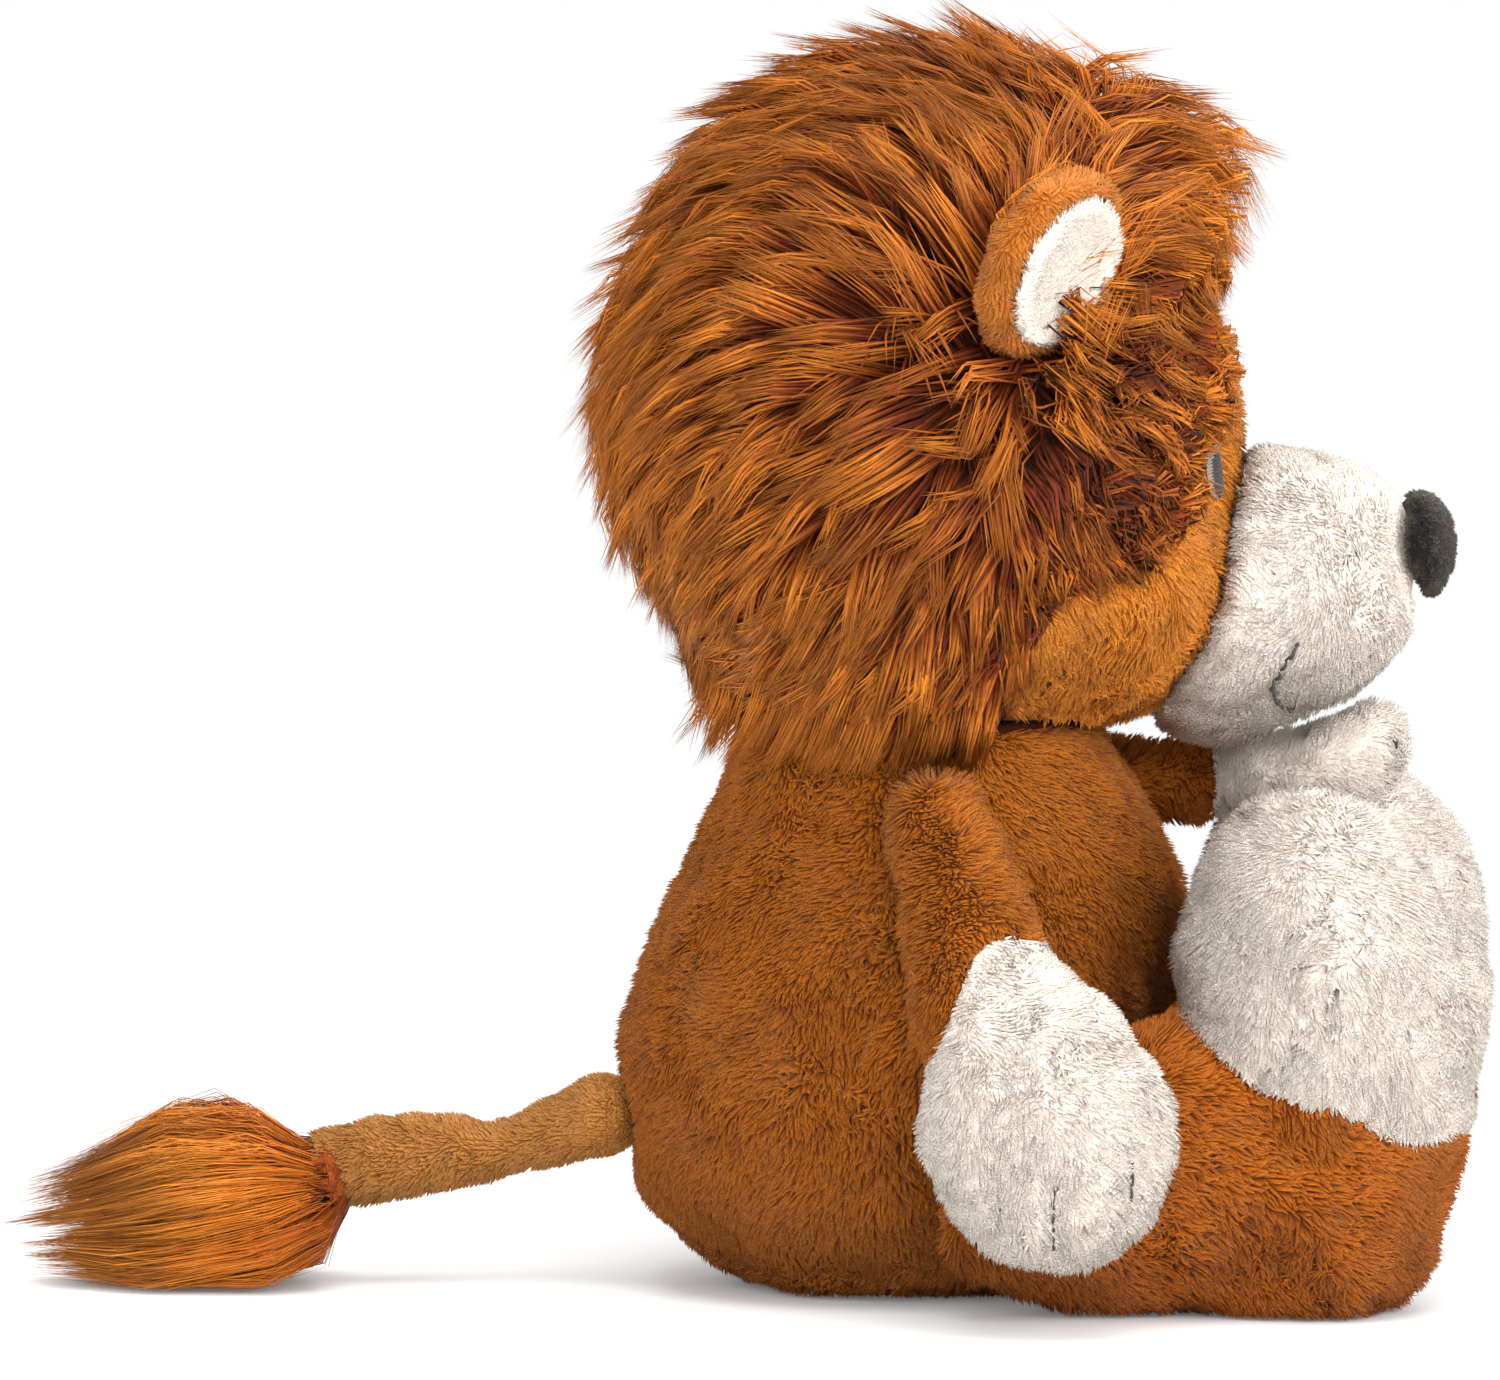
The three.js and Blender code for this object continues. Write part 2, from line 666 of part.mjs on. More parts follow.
function buildHead() {
  const space = neckSpace();
  const headSkin = headForm(gap);
  const shell = headForm(0).subtract(headCore(-cloth));
  const face = shell.intersect(faceSide(0)).subtract(space);
  const manePlace = { x: mane.x, y: 0, z: torso.height - mane.drop };
  const rings = levelRings(mane, mane_row_shares, manePlace, 0, sides.mane);
  const loose = rings.slice(mane_locks.first_row);
  let fur = loft([...rings.slice(0, mane_locks.first_row), ...locked(loose, mane_locks.depth, 1)]);
  fur = fur.subtract(headCore(-cloth)).subtract(faceSide(gap)).subtract(space);
  for (const side of [-1, 1]) fur = fur.subtract(earPad(side, gap, 0));
  add('face_cover', face, 'gold');
  add('mane', fur, 'mane');
  add('head_filling', headCore(-cloth - gap).subtract(space), 'filling');
  buildEar('right', -1, headSkin);
  buildEar('left', 1, headSkin);
  const noseX = muzzle.back + muzzle.length - nose.set_back;
  const noseZ = muzzle.z + nose.rise_share * (muzzle.height / 2);
  const nosePad = pad(vector(noseX, 0, noseZ), vector(0, 1, 0), vector(0, 0, 1), vector(1, 0, 0), [
    nose.width / 2,
    nose.height / 2,
    nose.depth / 2,
  ]);
  const muzzleSkin = muzzleForm(gap);
  add('muzzle_cover', muzzleForm(0).subtract(muzzleForm(-cloth)).subtract(headSkin).subtract(space), 'cream');
  add('muzzle_filling', muzzleForm(-cloth - gap).subtract(headSkin), 'filling');
  add('nose', nosePad.subtract(muzzleSkin), 'black');
  const smile = [-1, 1].map((side) =>
    mouth_shares.map(([along, turn]) => muzzlePoint(along, (side * turn * Math.PI) / 2, gap + thread)),
  );
  const line = [...smile[0].slice(1).reverse(), ...smile[1]];
  add('mouth_stitch', stitch(line).subtract(muzzleForm(gap / 2)), 'black');
  buildEye('right', -1, headSkin);
  buildEye('left', 1, headSkin);
}

// Arms: a brown sleeve and a white paw, sewn together at a seam
function armRows(size, rowShares, side) {
  return rowShares.map(([reach, spread, drop, half, thick]) => ({
    at: vector(
      shoulder.x + reach * size.reach,
      side * (shoulder.y + spread * size.spread),
      shoulder.z - drop * size.drop,
    ),
    half: half * (size.width / 2),
    thick: thick * (size.thickness / 2),
  }));
}

function buildArm(name, side, rows, widthDirection, pawSide, swing) {
  const centre = vector(shoulder.x, side * shoulder.y, shoulder.z);
  const root = ball(shoulder.ball, ...centre);
  const limb = pathForm(rows, widthDirection, 0, sides.arm, 0);
  const outer = clearOfTorso(limb, centre, swing.axis, swing.turn).add(root);
  const hollow = pathForm(rows, widthDirection, -cloth, sides.arm, shoulder.ball * 2);
  const stuffing = pathForm(rows, widthDirection, -cloth - gap, sides.arm, shoulder.ball * 2);
  const skin = outer.subtract(hollow);
  add(`sleeve_${name}`, skin.subtract(pawSide(gap)), 'brown');
  add(`paw_${name}`, skin.intersect(pawSide(0)), 'white');
  add(`arm_filling_${name}`, outer.intersect(stuffing), 'filling');
}

// Points on a body's skin, seen from far off along a direction, and lifted off it
function skinPoints(body, starts, direction, out) {
  const mesh = new THREE.Mesh(geometryOf(body), new THREE.MeshBasicMaterial());
  const far = mane.length * 2;
  return starts.map((start) => {
    const from = start.clone().addScaledVector(direction, -far);
    const [hit] = new THREE.Raycaster(from, direction).intersectObject(mesh);
    return hit.point.clone().addScaledVector(hit.face.normal, out);
  });
}

// Embroidered line on a body, from one place to another as seen along a direction
function toeStitch(name, body, from, to, direction) {
  const starts = [];
  for (let k = 0; k < stitch_points; k += 1) starts.push(from.clone().lerp(to, k / (stitch_points - 1)));
  const line = stitch(skinPoints(body, starts, direction, gap + thread));
  add(name, line.subtract(body), 'black');
}

function hangingPawSide(shift) {
  const seam = hanging_seam.map(({ x, drop }) => {
    const away = new THREE.Vector2(x - paw_middle.x, paw_middle.drop - drop);
    away.setLength(shift * seam_widening_share);
    return [shoulder.x + x + away.x, shoulder.z - drop + away.y];
  });
  const low = shoulder.z - hanging_arm.drop - overrun;
  return sideCut([...seam, [seam.at(-1)[0], low], [seam[0][0], low]], mane.width);
}

function raisedPawSide(shift) {
  const x = raised_seam.x - shift;
  const wide = raised_arm.reach + overrun;
  return sideCut(
    [
      [x, shoulder.z - wide],
      [x + wide, shoulder.z - wide],
      [x + wide, shoulder.z + wide],
      [x, shoulder.z + wide],
    ],
    mane.width,
  );
}

function buildArms() {
  const hanging = armRows(hanging_arm, hanging_arm_shares, -1);
  const outward = { axis: vector(-1, 0, 0), turn: hanging_arm.turn };
  buildArm('right', -1, hanging, vector(1, 0, 0), hangingPawSide, outward);
  const hangingSkin = pathForm(hanging, vector(1, 0, 0), 0, sides.arm, 0);
  const tip = hanging.at(-1).at;
  for (const { name, along, upper, lower } of paw_toes) {
    const ends = [upper, lower].map((above) => vector(tip.x + along, 0, tip.z + above));
    toeStitch(`paw_stitch_${name}_right`, hangingSkin, ...ends, vector(0, 1, 0));
  }
  const raised = raised_arm_shares.map(([reach, inward, rise, half, thick]) => ({
    at: vector(
      shoulder.x + reach * raised_arm.reach,
      shoulder.y - inward * raised_arm.inward,
      shoulder.z + rise * raised_arm.rise,
    ),
    half: half * (raised_arm.width / 2),
    thick: thick * (raised_arm.thickness / 2),
  }));
  const tilt = vector(raised_tilt_shares[0], raised_tilt_shares[1], 1).normalize();
  buildArm('left', 1, raised, vector(0, 1, 0), raisedPawSide, { axis: tilt, turn: raised_arm.turn });
  const raisedSkin = pathForm(raised, vector(0, 1, 0), 0, sides.arm, 0);
  const end = raised.at(-1).at;
  for (const [place, shift] of [['front', -raised_toes.spacing / 2], ['back', raised_toes.spacing / 2]]) {
    const middle = end.z - raised_toes.below_tip;
    const ends = [1, -1].map((way) => vector(0, end.y + shift, middle + (way * raised_toes.length) / 2));
    toeStitch(`paw_stitch_${place}_left`, raisedSkin, ...ends, vector(-1, 0, 0));
  }
}

// Legs
function footForm(side, pose, grow) {
  const place = { x: foot.x + pose.forward, y: side * (foot.y + pose.spread), z: -flat_cut };
  const size = { ...foot, height: foot.height + flat_cut };
  return levelForm(size, foot_row_shares, place, grow, sides.foot);
}

function legForm(side, pose, grow) {
  const rows = leg_row_shares.map(([along, bottom, top, inner, outer]) => {
    const out = leg.outside + pose.spread * along;
    const y = [out - (1 - inner) * leg.width, out - (1 - outer) * leg.width];
    return {
      x: leg.back + along * (leg.length + pose.forward),
      bottom: bottom * leg.height - flat_cut,
      top: top * leg.height,
      inner: y[0] * side,
      outer: y[1] * side,
    };
  });
  for (const row of rows) [row.inner, row.outer] = [row.inner, row.outer].sort((a, b) => a - b);
  return lengthForm(rows, grow, sides.leg);
}

function footSide(pose, shift) {
  const outline = foot_seam_shares.map(([along, up]) => [
    foot.x + pose.forward + along * (foot.length / 2),
    up * foot.height - shift,
  ]);
  const top = foot.height + overrun;
  outline.push([outline.at(-1)[0], top], [outline[0][0], top]);
  return sideCut(outline, mane.width);
}

function buildLeg(name, side) {
  const pose = leg_pose[name];
  const centre = vector(hip.x, 0, hip.z);
  const whole = (grow) => legForm(side, pose, grow).add(footForm(side, pose, grow));
  const body = (grow) => clearOfTorso(whole(grow), centre, vector(0, 1, 0), hip.turn);
  const skin = body(0).subtract(whole(-cloth)).subtract(floor);
  add(`leg_cover_${name}`, skin.subtract(footSide(pose, gap)), 'brown');
  add(`foot_cover_${name}`, skin.intersect(footSide(pose, 0)), 'white');
  add(`leg_filling_${name}`, body(-cloth - gap), 'filling');
  const footSkin = footForm(side, pose, 0);
  for (const [place, shift] of [['inner', -foot_toes.spacing / 2], ['outer', foot_toes.spacing / 2]]) {
    const y = side * (foot.y + pose.spread + shift);
    const high = foot.height - foot_toes.below_top;
    const ends = [high, high - foot_toes.length].map((z) => vector(0, y, z));
    toeStitch(`foot_stitch_${place}_${name}`, footSkin, ...ends, vector(-1, 0, 0));
  }
}

// Tail and its tuft
function tailForm(grow, tailRun) {
  const rows = tail_shares.map(([along, drop, half]) => ({
    at: vector(-tail.x - along * tail.length, 0, tail.z - drop * tail.drop),
    half: half * (tail.thickness / 2),
    thick: half * (tail.thickness / 2),
  }));
  return pathForm(rows, vector(0, 1, 0), grow, sides.tail, tailRun);
}

function tuftForm() {
  const rows = tuft_row_shares.map(([along, bottom, top, side]) => ({
    x: -tuft.front - along * tuft.length,
    bottom: gap + bottom * tuft.height,
    top: gap + top * tuft.height,
    inner: -side * (tuft.width / 2),
    outer: side * (tuft.width / 2),
  }));
  return loft(locked(lengthRings(rows.reverse(), 0, sides.tuft), tuft_locks.depth, 0));
}

function buildTail() {
  const root = ball(tail.ball, -tail.x, 0, tail.z);
  const outer = tailForm(0, 0).add(root);
  const reach = tail.ball * 2;
  add('tail_cover', outer.subtract(tailForm(-cloth, reach)), 'tail');
  add('tail_filling', outer.intersect(tailForm(-cloth - gap, reach)), 'filling');
  add('tail_tuft', tuftForm().subtract(tailForm(gap, 0)), 'mane');
}

buildTorso();
buildHead();
buildArms();
buildLeg('right', -1);
buildLeg('left', 1);
buildTail();

export default lion;
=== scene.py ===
"""Dresses the packed frame of a sitting plush lion in fur, plush and thread, on a pale stage."""

import json
import math

import bmesh
import bpy
import numpy as np
from mathutils import Matrix, Vector
from mathutils.bvhtree import BVHTree
from mathutils.kdtree import KDTree

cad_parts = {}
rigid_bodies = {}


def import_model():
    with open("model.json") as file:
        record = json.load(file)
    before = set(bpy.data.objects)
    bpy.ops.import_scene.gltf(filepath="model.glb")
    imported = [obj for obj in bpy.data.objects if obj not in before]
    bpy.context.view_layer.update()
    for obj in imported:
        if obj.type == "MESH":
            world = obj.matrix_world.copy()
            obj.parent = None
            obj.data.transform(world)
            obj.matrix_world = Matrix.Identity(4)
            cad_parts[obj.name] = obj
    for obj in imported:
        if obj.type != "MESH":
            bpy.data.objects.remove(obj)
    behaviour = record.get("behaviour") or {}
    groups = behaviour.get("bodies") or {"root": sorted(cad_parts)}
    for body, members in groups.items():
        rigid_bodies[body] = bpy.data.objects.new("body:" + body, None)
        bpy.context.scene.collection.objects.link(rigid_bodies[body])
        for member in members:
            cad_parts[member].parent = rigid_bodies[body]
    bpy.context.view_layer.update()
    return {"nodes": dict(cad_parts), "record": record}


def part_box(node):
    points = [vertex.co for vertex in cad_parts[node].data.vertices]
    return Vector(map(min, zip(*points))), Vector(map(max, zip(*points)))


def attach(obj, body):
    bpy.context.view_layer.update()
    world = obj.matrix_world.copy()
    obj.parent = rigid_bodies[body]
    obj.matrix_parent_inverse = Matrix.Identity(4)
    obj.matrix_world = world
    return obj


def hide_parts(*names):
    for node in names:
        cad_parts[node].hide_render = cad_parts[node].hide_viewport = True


bl_info = {
    "name": "Plush lion",
    "version": (1, 0, 0),
    "blender": (4, 5, 0),
    "location": "3D View > Sidebar > Plush lion",
    "description": "Sews a sitting plush lion round its packed frame",
    "category": "Object",
}

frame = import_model()
BODIES = frame["record"]["behaviour"]["bodies"]
BODY_OF = {node: body for body, nodes in BODIES.items() for node in nodes}
BAKE_MAP = "OFBake"  # the name of a piece's own map, which the finishes read
MM = 0.001
SPACING = 1.0  # rough fur while trying things


def paint(red, green, blue):
    """Linear colour from the 0 to 255 levels that are seen on a screen."""
    levels = np.array([red, green, blue]) / 255
    low = levels / 12.92
    high = ((levels + 0.055) / 1.055) ** 2.4
    return tuple(float(v) for v in np.where(levels <= 0.04045, low, high)) + (1.0,)


# Settings


def colour(name, description, levels):
    """A colour setting with its default."""
    kind = {"size": 4, "subtype": "COLOR", "min": 0, "max": 1}
    return bpy.props.FloatVectorProperty(
        name=name, description=description, default=paint(*levels), **kind
    )


def amount(name, description, value, **more):
    """A plain setting that isn't negative."""
    more = {"min": 0, **more}
    return bpy.props.FloatProperty(name=name, description=description, default=value, **more)


def length(name, description, millimetres):
    """A length setting with its default."""
    return amount(name, description, millimetres * MM, unit="LENGTH", precision=4)


def share(name, description, value):
    """A setting between nothing and all."""
    return amount(name, description, value, subtype="FACTOR", max=1)


class PlushSettings(bpy.types.PropertyGroup):
    """Short plush on the body, face, limbs and tail."""

    pile: length("Pile", "Length of the short plush fibres", 3.3)
    fine_pile: length("Fine pile", "Length of the fibres on muzzle, ears and tail", 2.8)
    spacing: length("Spacing", "Distance between neighbouring fibres", 1.25)
    tuft: length("Tuft width", "Width over which the fibres lean together", 2.6)
    gather: share("Gather", "How far the fibres of a tuft draw together", 0.3)
    lean: share("Lean", "How far the pile lies down along the cloth", 0.66)
    # The darker pile at the partings is painted shade in the gaps between tufts
    part: share("Parting", "How much shorter and darker the pile is where it parts", 0.45)
    brown_pile: amount("Brown limbs", "How much longer the pile is on sleeves and legs", 1.15)
    backing: length("Backing", "Thickness of the knitted backing", 0.5)
    brown: colour("Brown", "Tips of the body plush", (204, 114, 22))
    brown_root: colour("Brown root", "Roots of the body plush", (104, 46, 4))
    leg: colour("Leg brown", "Tips of the leg plush", (197, 105, 18))
    gold: colour("Gold", "Tips of the cheek plush", (255, 156, 48))
    gold_root: colour("Gold root", "Roots of the cheek plush", (166, 80, 12))
    ear: colour("Ear", "Tips of the plush on the ears' backs", (230, 140, 52))
    tail: colour("Tail", "Tips of the tail plush", (214, 146, 72))
    tail_root: colour("Tail root", "Roots of the tail plush", (132, 74, 24))
    white: colour("White", "Tips of the paw, foot and ear lining plush", (232, 221, 209))
    # The white roots are a little lighter than the tips: painted light for the glow deep in white
    # pile, which would otherwise shade its depth
    white_root: colour("White root", "Roots of the white plush", (236, 225, 213))
    cream: colour("Cream", "Tips of the muzzle plush", (239, 228, 216))
    black: colour("Black", "Tips of the nose plush", (38, 36, 38))
    black_root: colour("Black root", "Roots of the nose plush", (12, 11, 12))


class ManeSettings(bpy.types.PropertyGroup):
    """Long fur on the head and on the tail's end."""

    hair: length("Hair", "Length of the mane's hairs", 31)
    spacing: length("Spacing", "Distance between neighbouring hairs", 1.4)
    lock: length("Lock width", "Width over which the hairs join into a lock", 4.6)
    gather: share("Gather", "How far a lock's hairs draw together at their tips", 0.74)
    under: share("Undercoat", "Share of the hairs that stay loose under the locks", 0.3)
    curl: length("Curl", "How far the fringe hairs wave from side to side", 2.6)
    root: colour("Root", "Colour at the roots", (60, 23, 3))
    middle: colour("Middle", "Colour half way along the hairs", (127, 50, 5))
    tip: colour("Tip", "Colour at the tips", (240, 143, 42))
    tuft_tip: colour("Tail tuft tip", "Colour at the tips of the tail's tuft", (226, 140, 46))


class ThreadSettings(bpy.types.PropertyGroup):
    """Embroidered lines and eyes."""

    radius: length("Radius", "Radius of an embroidery thread", 0.3)
    stitch: length("Stitch", "Length of one stitch of a line", 3.2)
    row: length("Row", "Distance between the rows of thread that fill an eye", 0.62)
    black: colour("Black thread", "Mouth, toes and pupils", (34, 31, 31))
    grey: colour("Grey thread", "Ring round each pupil", (112, 104, 96))


class StuffingSettings(bpy.types.PropertyGroup):
    """What the covers hold inside."""

    fibre: colour("Fibre", "Polyester filling", (238, 236, 230))
    bag: colour("Bag", "Cloth of the pellet bag in the seat", (168, 165, 160))
    pellet: length("Pellet", "Width of one pellet under the bag's cloth", 4)


class StageSettings(bpy.types.PropertyGroup):
    """Floor, lamps and camera."""

    floor: colour("Floor", "Colour of the floor", (232, 232, 232))
    key: amount("Key lamp", "Power of the large lamp above", 25.5, unit="POWER")
    fill: amount("Fill lamps", "Power of the lamps on the left and behind", 10.5, unit="POWER")
    front: amount("Front lamp", "Power of the lamp at the camera", 26, unit="POWER")
    air: amount("Air", "Strength of the even light all round", 0.72)
    distance: length("Camera distance", "From the camera to the lion", 3000)
    elevation: amount("Camera elevation", "Height of the view", math.radians(5), subtype="ANGLE")


# Shader nodes


class Value:
    """A shader socket that grows Math nodes where it is used in an expression."""

    def __init__(self, finish, socket):
        self.finish = finish
        self.socket = socket

    def math(self, operation, first, second=0.0, clamp=False):
        """The value that a Math node makes of two others."""
        settings = {"operation": operation, "use_clamp": clamp}
        return self.finish.add("ShaderNodeMath", settings, {0: first, 1: second})

    def __add__(self, other):
        return self.math("ADD", self, other)

    def __sub__(self, other):
        return self.math("SUBTRACT", self, other)

    def __rsub__(self, other):
        return self.math("SUBTRACT", other, self)

    def __mul__(self, other):
        return self.math("MULTIPLY", self, other)

    def __truediv__(self, other):
        return self.math("DIVIDE", self, other)

    def __pow__(self, other):
        return self.math("POWER", self, other)

    def clamped(self):
        """The value, kept between 0 and 1."""
        return self.math("ADD", self, 0.0, clamp=True)

    __radd__ = __add__
    __rmul__ = __mul__


class Finish:
    """A material that is put together from nodes."""

    def __init__(self, name, tree=None):
        if tree is None:
            self.material = bpy.data.materials.new(name)
            self.material.use_nodes = True
            tree = self.material.node_tree
        self.tree = tree
        self.tree.nodes.clear()

    def add(self, kind, settings=None, inputs=None, output=0):
        """A node of one kind: its settings first, then the values or links of its sockets."""
        node = self.tree.nodes.new(kind)
        for key, value in (settings or {}).items():
            if key != "stops":
                setattr(node, key, value)
                continue
            ramp = node.color_ramp.elements
            while len(ramp) < len(value):
                ramp.new(0.5)
            for element, (place, tint) in zip(ramp, value):
                element.position = place
                element.color = tint
        for key, value in (inputs or {}).items():
            if isinstance(value, Value):
                self.tree.links.new(value.socket, node.inputs[key])
            else:
                node.inputs[key].default_value = value
        return Value(self, node.outputs[output]) if len(node.outputs) else None

    def mix(self, factor, first, second, blend="MIX"):
        """Two colours mixed."""
        settings = {"data_type": "RGBA", "blend_type": blend}
        return self.add("ShaderNodeMix", settings, {0: factor, 6: first, 7: second}, 2)

    def place(self):
        """Object coordinates."""
        return self.add("ShaderNodeTexCoord", output=3)

    def split(self, vector):
        """The first two parts of a vector."""
        return [self.add("ShaderNodeSeparateXYZ", inputs={0: vector}, output=k) for k in (0, 1)]

    def noise(self, scale, detail=2.0, where=None):
        """A noise on the object, or where it is told."""
        inputs = {"Vector": where or self.place(), "Scale": scale, "Detail": detail}
        return self.add("ShaderNodeTexNoise", inputs=inputs)

    def seen(self):
        """1 for the rays that show the background: from the camera, off gloss and through glass."""
        camera, gloss, glass = (self.add("ShaderNodeLightPath", output=k) for k in (0, 3, 6))
        return (camera + gloss + glass).clamped()

    def bump(self, height, strength, distance):
        """The normal of a surface that is raised by a height."""
        inputs = {"Height": height, "Strength": strength, "Distance": distance}
        return self.add("ShaderNodeBump", inputs=inputs)

    def surface(self, **sockets):
        """The closing Principled shader; a socket's name is given with _ for its spaces."""
        named = {key.replace("_", " "): value for key, value in sockets.items()}
        shader = self.add("ShaderNodeBsdfPrincipled", inputs=named)
        self.add("ShaderNodeOutputMaterial", inputs={"Surface": shader})
        return self.material


STRAND = 0.45 * MM  # width of the finest strands that the finishes show
PLAIN_TONE = 0.42  # tone of a long hair that has the mane's plain colours


def fur_finish(name, stops, tones, roughness, sheen, depth=0.14, long=False):
    """Fibres coloured along their length by stops, and from one to the next by their tone."""
    finish = Finish(name)
    tone, along = finish.split(finish.add("ShaderNodeUVMap", {"uv_map": BAKE_MAP}))
    reach = along
    if long:  # a light hair is light from lower down
        reach = (along + (tone - PLAIN_TONE) * 0.5).clamped()
    run = finish.add("ShaderNodeValToRGB", {"stops": stops}, {0: reach})
    shade = finish.add("ShaderNodeValToRGB", {"stops": tones}, {0: tone})
    base = finish.mix(1.0, run, shade, "MULTIPLY")
    if long:
        # Streaks along every hair, as if it were several finer ones
        streak = finish.add("ShaderNodeCombineXYZ", inputs={0: tone * 420, 1: along * 2.5})
        strands = finish.noise(1.0, 2.0, streak)
    else:
        strands = finish.noise(1 / STRAND, 3.0)
    # Painted shade: the colour is darker where the strands' bump is low, in the grooves between
    # fibres
    groove_shade = (1 + depth - 3 * depth * (1 - strands)).clamped()
    base = finish.mix(1.0, base, groove_shade, "MULTIPLY")
    rough = (roughness - 0.12 * along + 0.1 * tone).clamped()
    return finish.surface(
        Base_Color=base,
        Roughness=rough,
        Specular_IOR_Level=0.15,
        Sheen_Weight=sheen,
        Sheen_Roughness=0.5,
        Sheen_Tint=(1.0, 0.85, 0.68, 1.0),
        Normal=finish.bump(strands, 0.6, STRAND),
    )


def shades(low, middle):
    """Ramp stops for the tone: warm shade, half shade, full light."""
    return [(0.0, (*low, 1)), (0.5, (*middle, 1)), (1.0, (1, 1, 1, 1))]


def plush_finish(name, root, tip, contrast=0.3, sheen=0.06):
    """Short plush: dark in its depth, light at its tips."""
    stops = [(0.0, tuple(root)), (0.8, tuple(tip))]
    low = 1 - contrast
    tones = shades((low, low * 0.94, low * 0.88), (1 - contrast / 3,) * 3)
    return fur_finish(name, stops, tones, 0.85, sheen, 0.4 * contrast)


def hair_finish(name, root, middle, half_way, tip, tones):
    """Long fur with its colours at the root, half way and at the tip."""
    stops = [(0.0, tuple(root)), (half_way, tuple(middle)), (1.0, tuple(tip))]
    return fur_finish(name, stops, tones, 0.6, 0.03, 0.2, long=True)


# Forms


def unit(vectors):
    """The same directions with a length of one."""
    size = np.linalg.norm(vectors, axis=-1, keepdims=True)
    return vectors / np.maximum(size, 1e-12)


def fade(values, start, end):
    """From 0 at the start to 1 at the end, smoothly."""
    t = np.clip((values - start) / (end - start), 0, 1)
    return t * t * (3 - 2 * t)


def drift(points, size, seed):
    """Three smooth values between about -1 and 1 that wander over a distance of size."""
    rng = np.random.default_rng(seed)
    total = np.zeros((len(points), 3))
    for _ in range(7):
        wave = unit(rng.normal(size=(3, 3))) * (2 * np.pi / size) * rng.uniform(0.6, 1.4, (3, 1))
        total += np.sin(points @ wave.T + rng.uniform(0, 2 * np.pi, 3))
    return total / 2.4


def merged(names):
    """One bmesh with closed copies of CAD nodes."""
    bm = bmesh.new()
    for name in names:
        bm.from_mesh(frame["nodes"][name].data)
    bmesh.ops.remove_doubles(bm, verts=bm.verts, dist=1e-6)
    return bm


def tree_of(names):
    """Search tree over CAD nodes."""
    bm = merged(names)
    tree = BVHTree.FromBMesh(bm)
    bm.free()
    return tree


def add_object(name, data):
    """A new object in the scene."""
    made = bpy.data.objects.new(name, data)
    bpy.context.scene.collection.objects.link(made)
    return made


def mesh_from(bm, name):
    """A new mesh from a bmesh, which is used up."""
    mesh = bpy.data.meshes.new(name)
    bm.to_mesh(mesh)
    bm.free()
    return mesh


def evaluated(carrier):
    """The mesh that an object's data and modifiers give. The object is used up."""
    graph = bpy.context.evaluated_depsgraph_get()
    made = bpy.data.meshes.new_from_object(carrier.evaluated_get(graph))
    bpy.data.objects.remove(carrier)
    return made


def finished(bm, *modifiers):
    """The mesh after modifiers, each a type and its settings. The bmesh is used up."""
    carrier = add_object("form", mesh_from(bm, "form"))
    for kind, settings in modifiers:
        modifier = carrier.modifiers.new(kind.lower(), kind)
        for key, value in settings.items():
            setattr(modifier, key, value)
    return evaluated(carrier)


def numbers(collection, key, width, kind=np.float32):
    """One value of every element as an array."""
    found = np.empty(len(collection) * width, kind)
    collection.foreach_get(key, found)
    return found.reshape(-1, width) if width > 1 else found


def points_of(mesh):
    """Where the mesh's points are."""
    return numbers(mesh.vertices, "co", 3).astype(float)


def normals_of(mesh):
    """Which way the mesh's surface faces at its points."""
    return numbers(mesh.vertex_normals, "vector", 3).astype(float)


def set_points(mesh, points):
    """Moves the mesh's points to new places."""
    mesh.vertices.foreach_set("co", points.astype(np.float32).ravel())
    mesh.update()


def smoothed(values, edges, rounds):
    """Values of the vertices, evened out with their neighbours."""
    count = np.bincount(edges.ravel(), minlength=len(values))
    for _ in range(rounds):
        total = np.bincount(edges[:, 0], values[edges[:, 1]], len(values))
        total += np.bincount(edges[:, 1], values[edges[:, 0]], len(values))
        values = (values + total / np.maximum(count, 1)) / 2
    return values


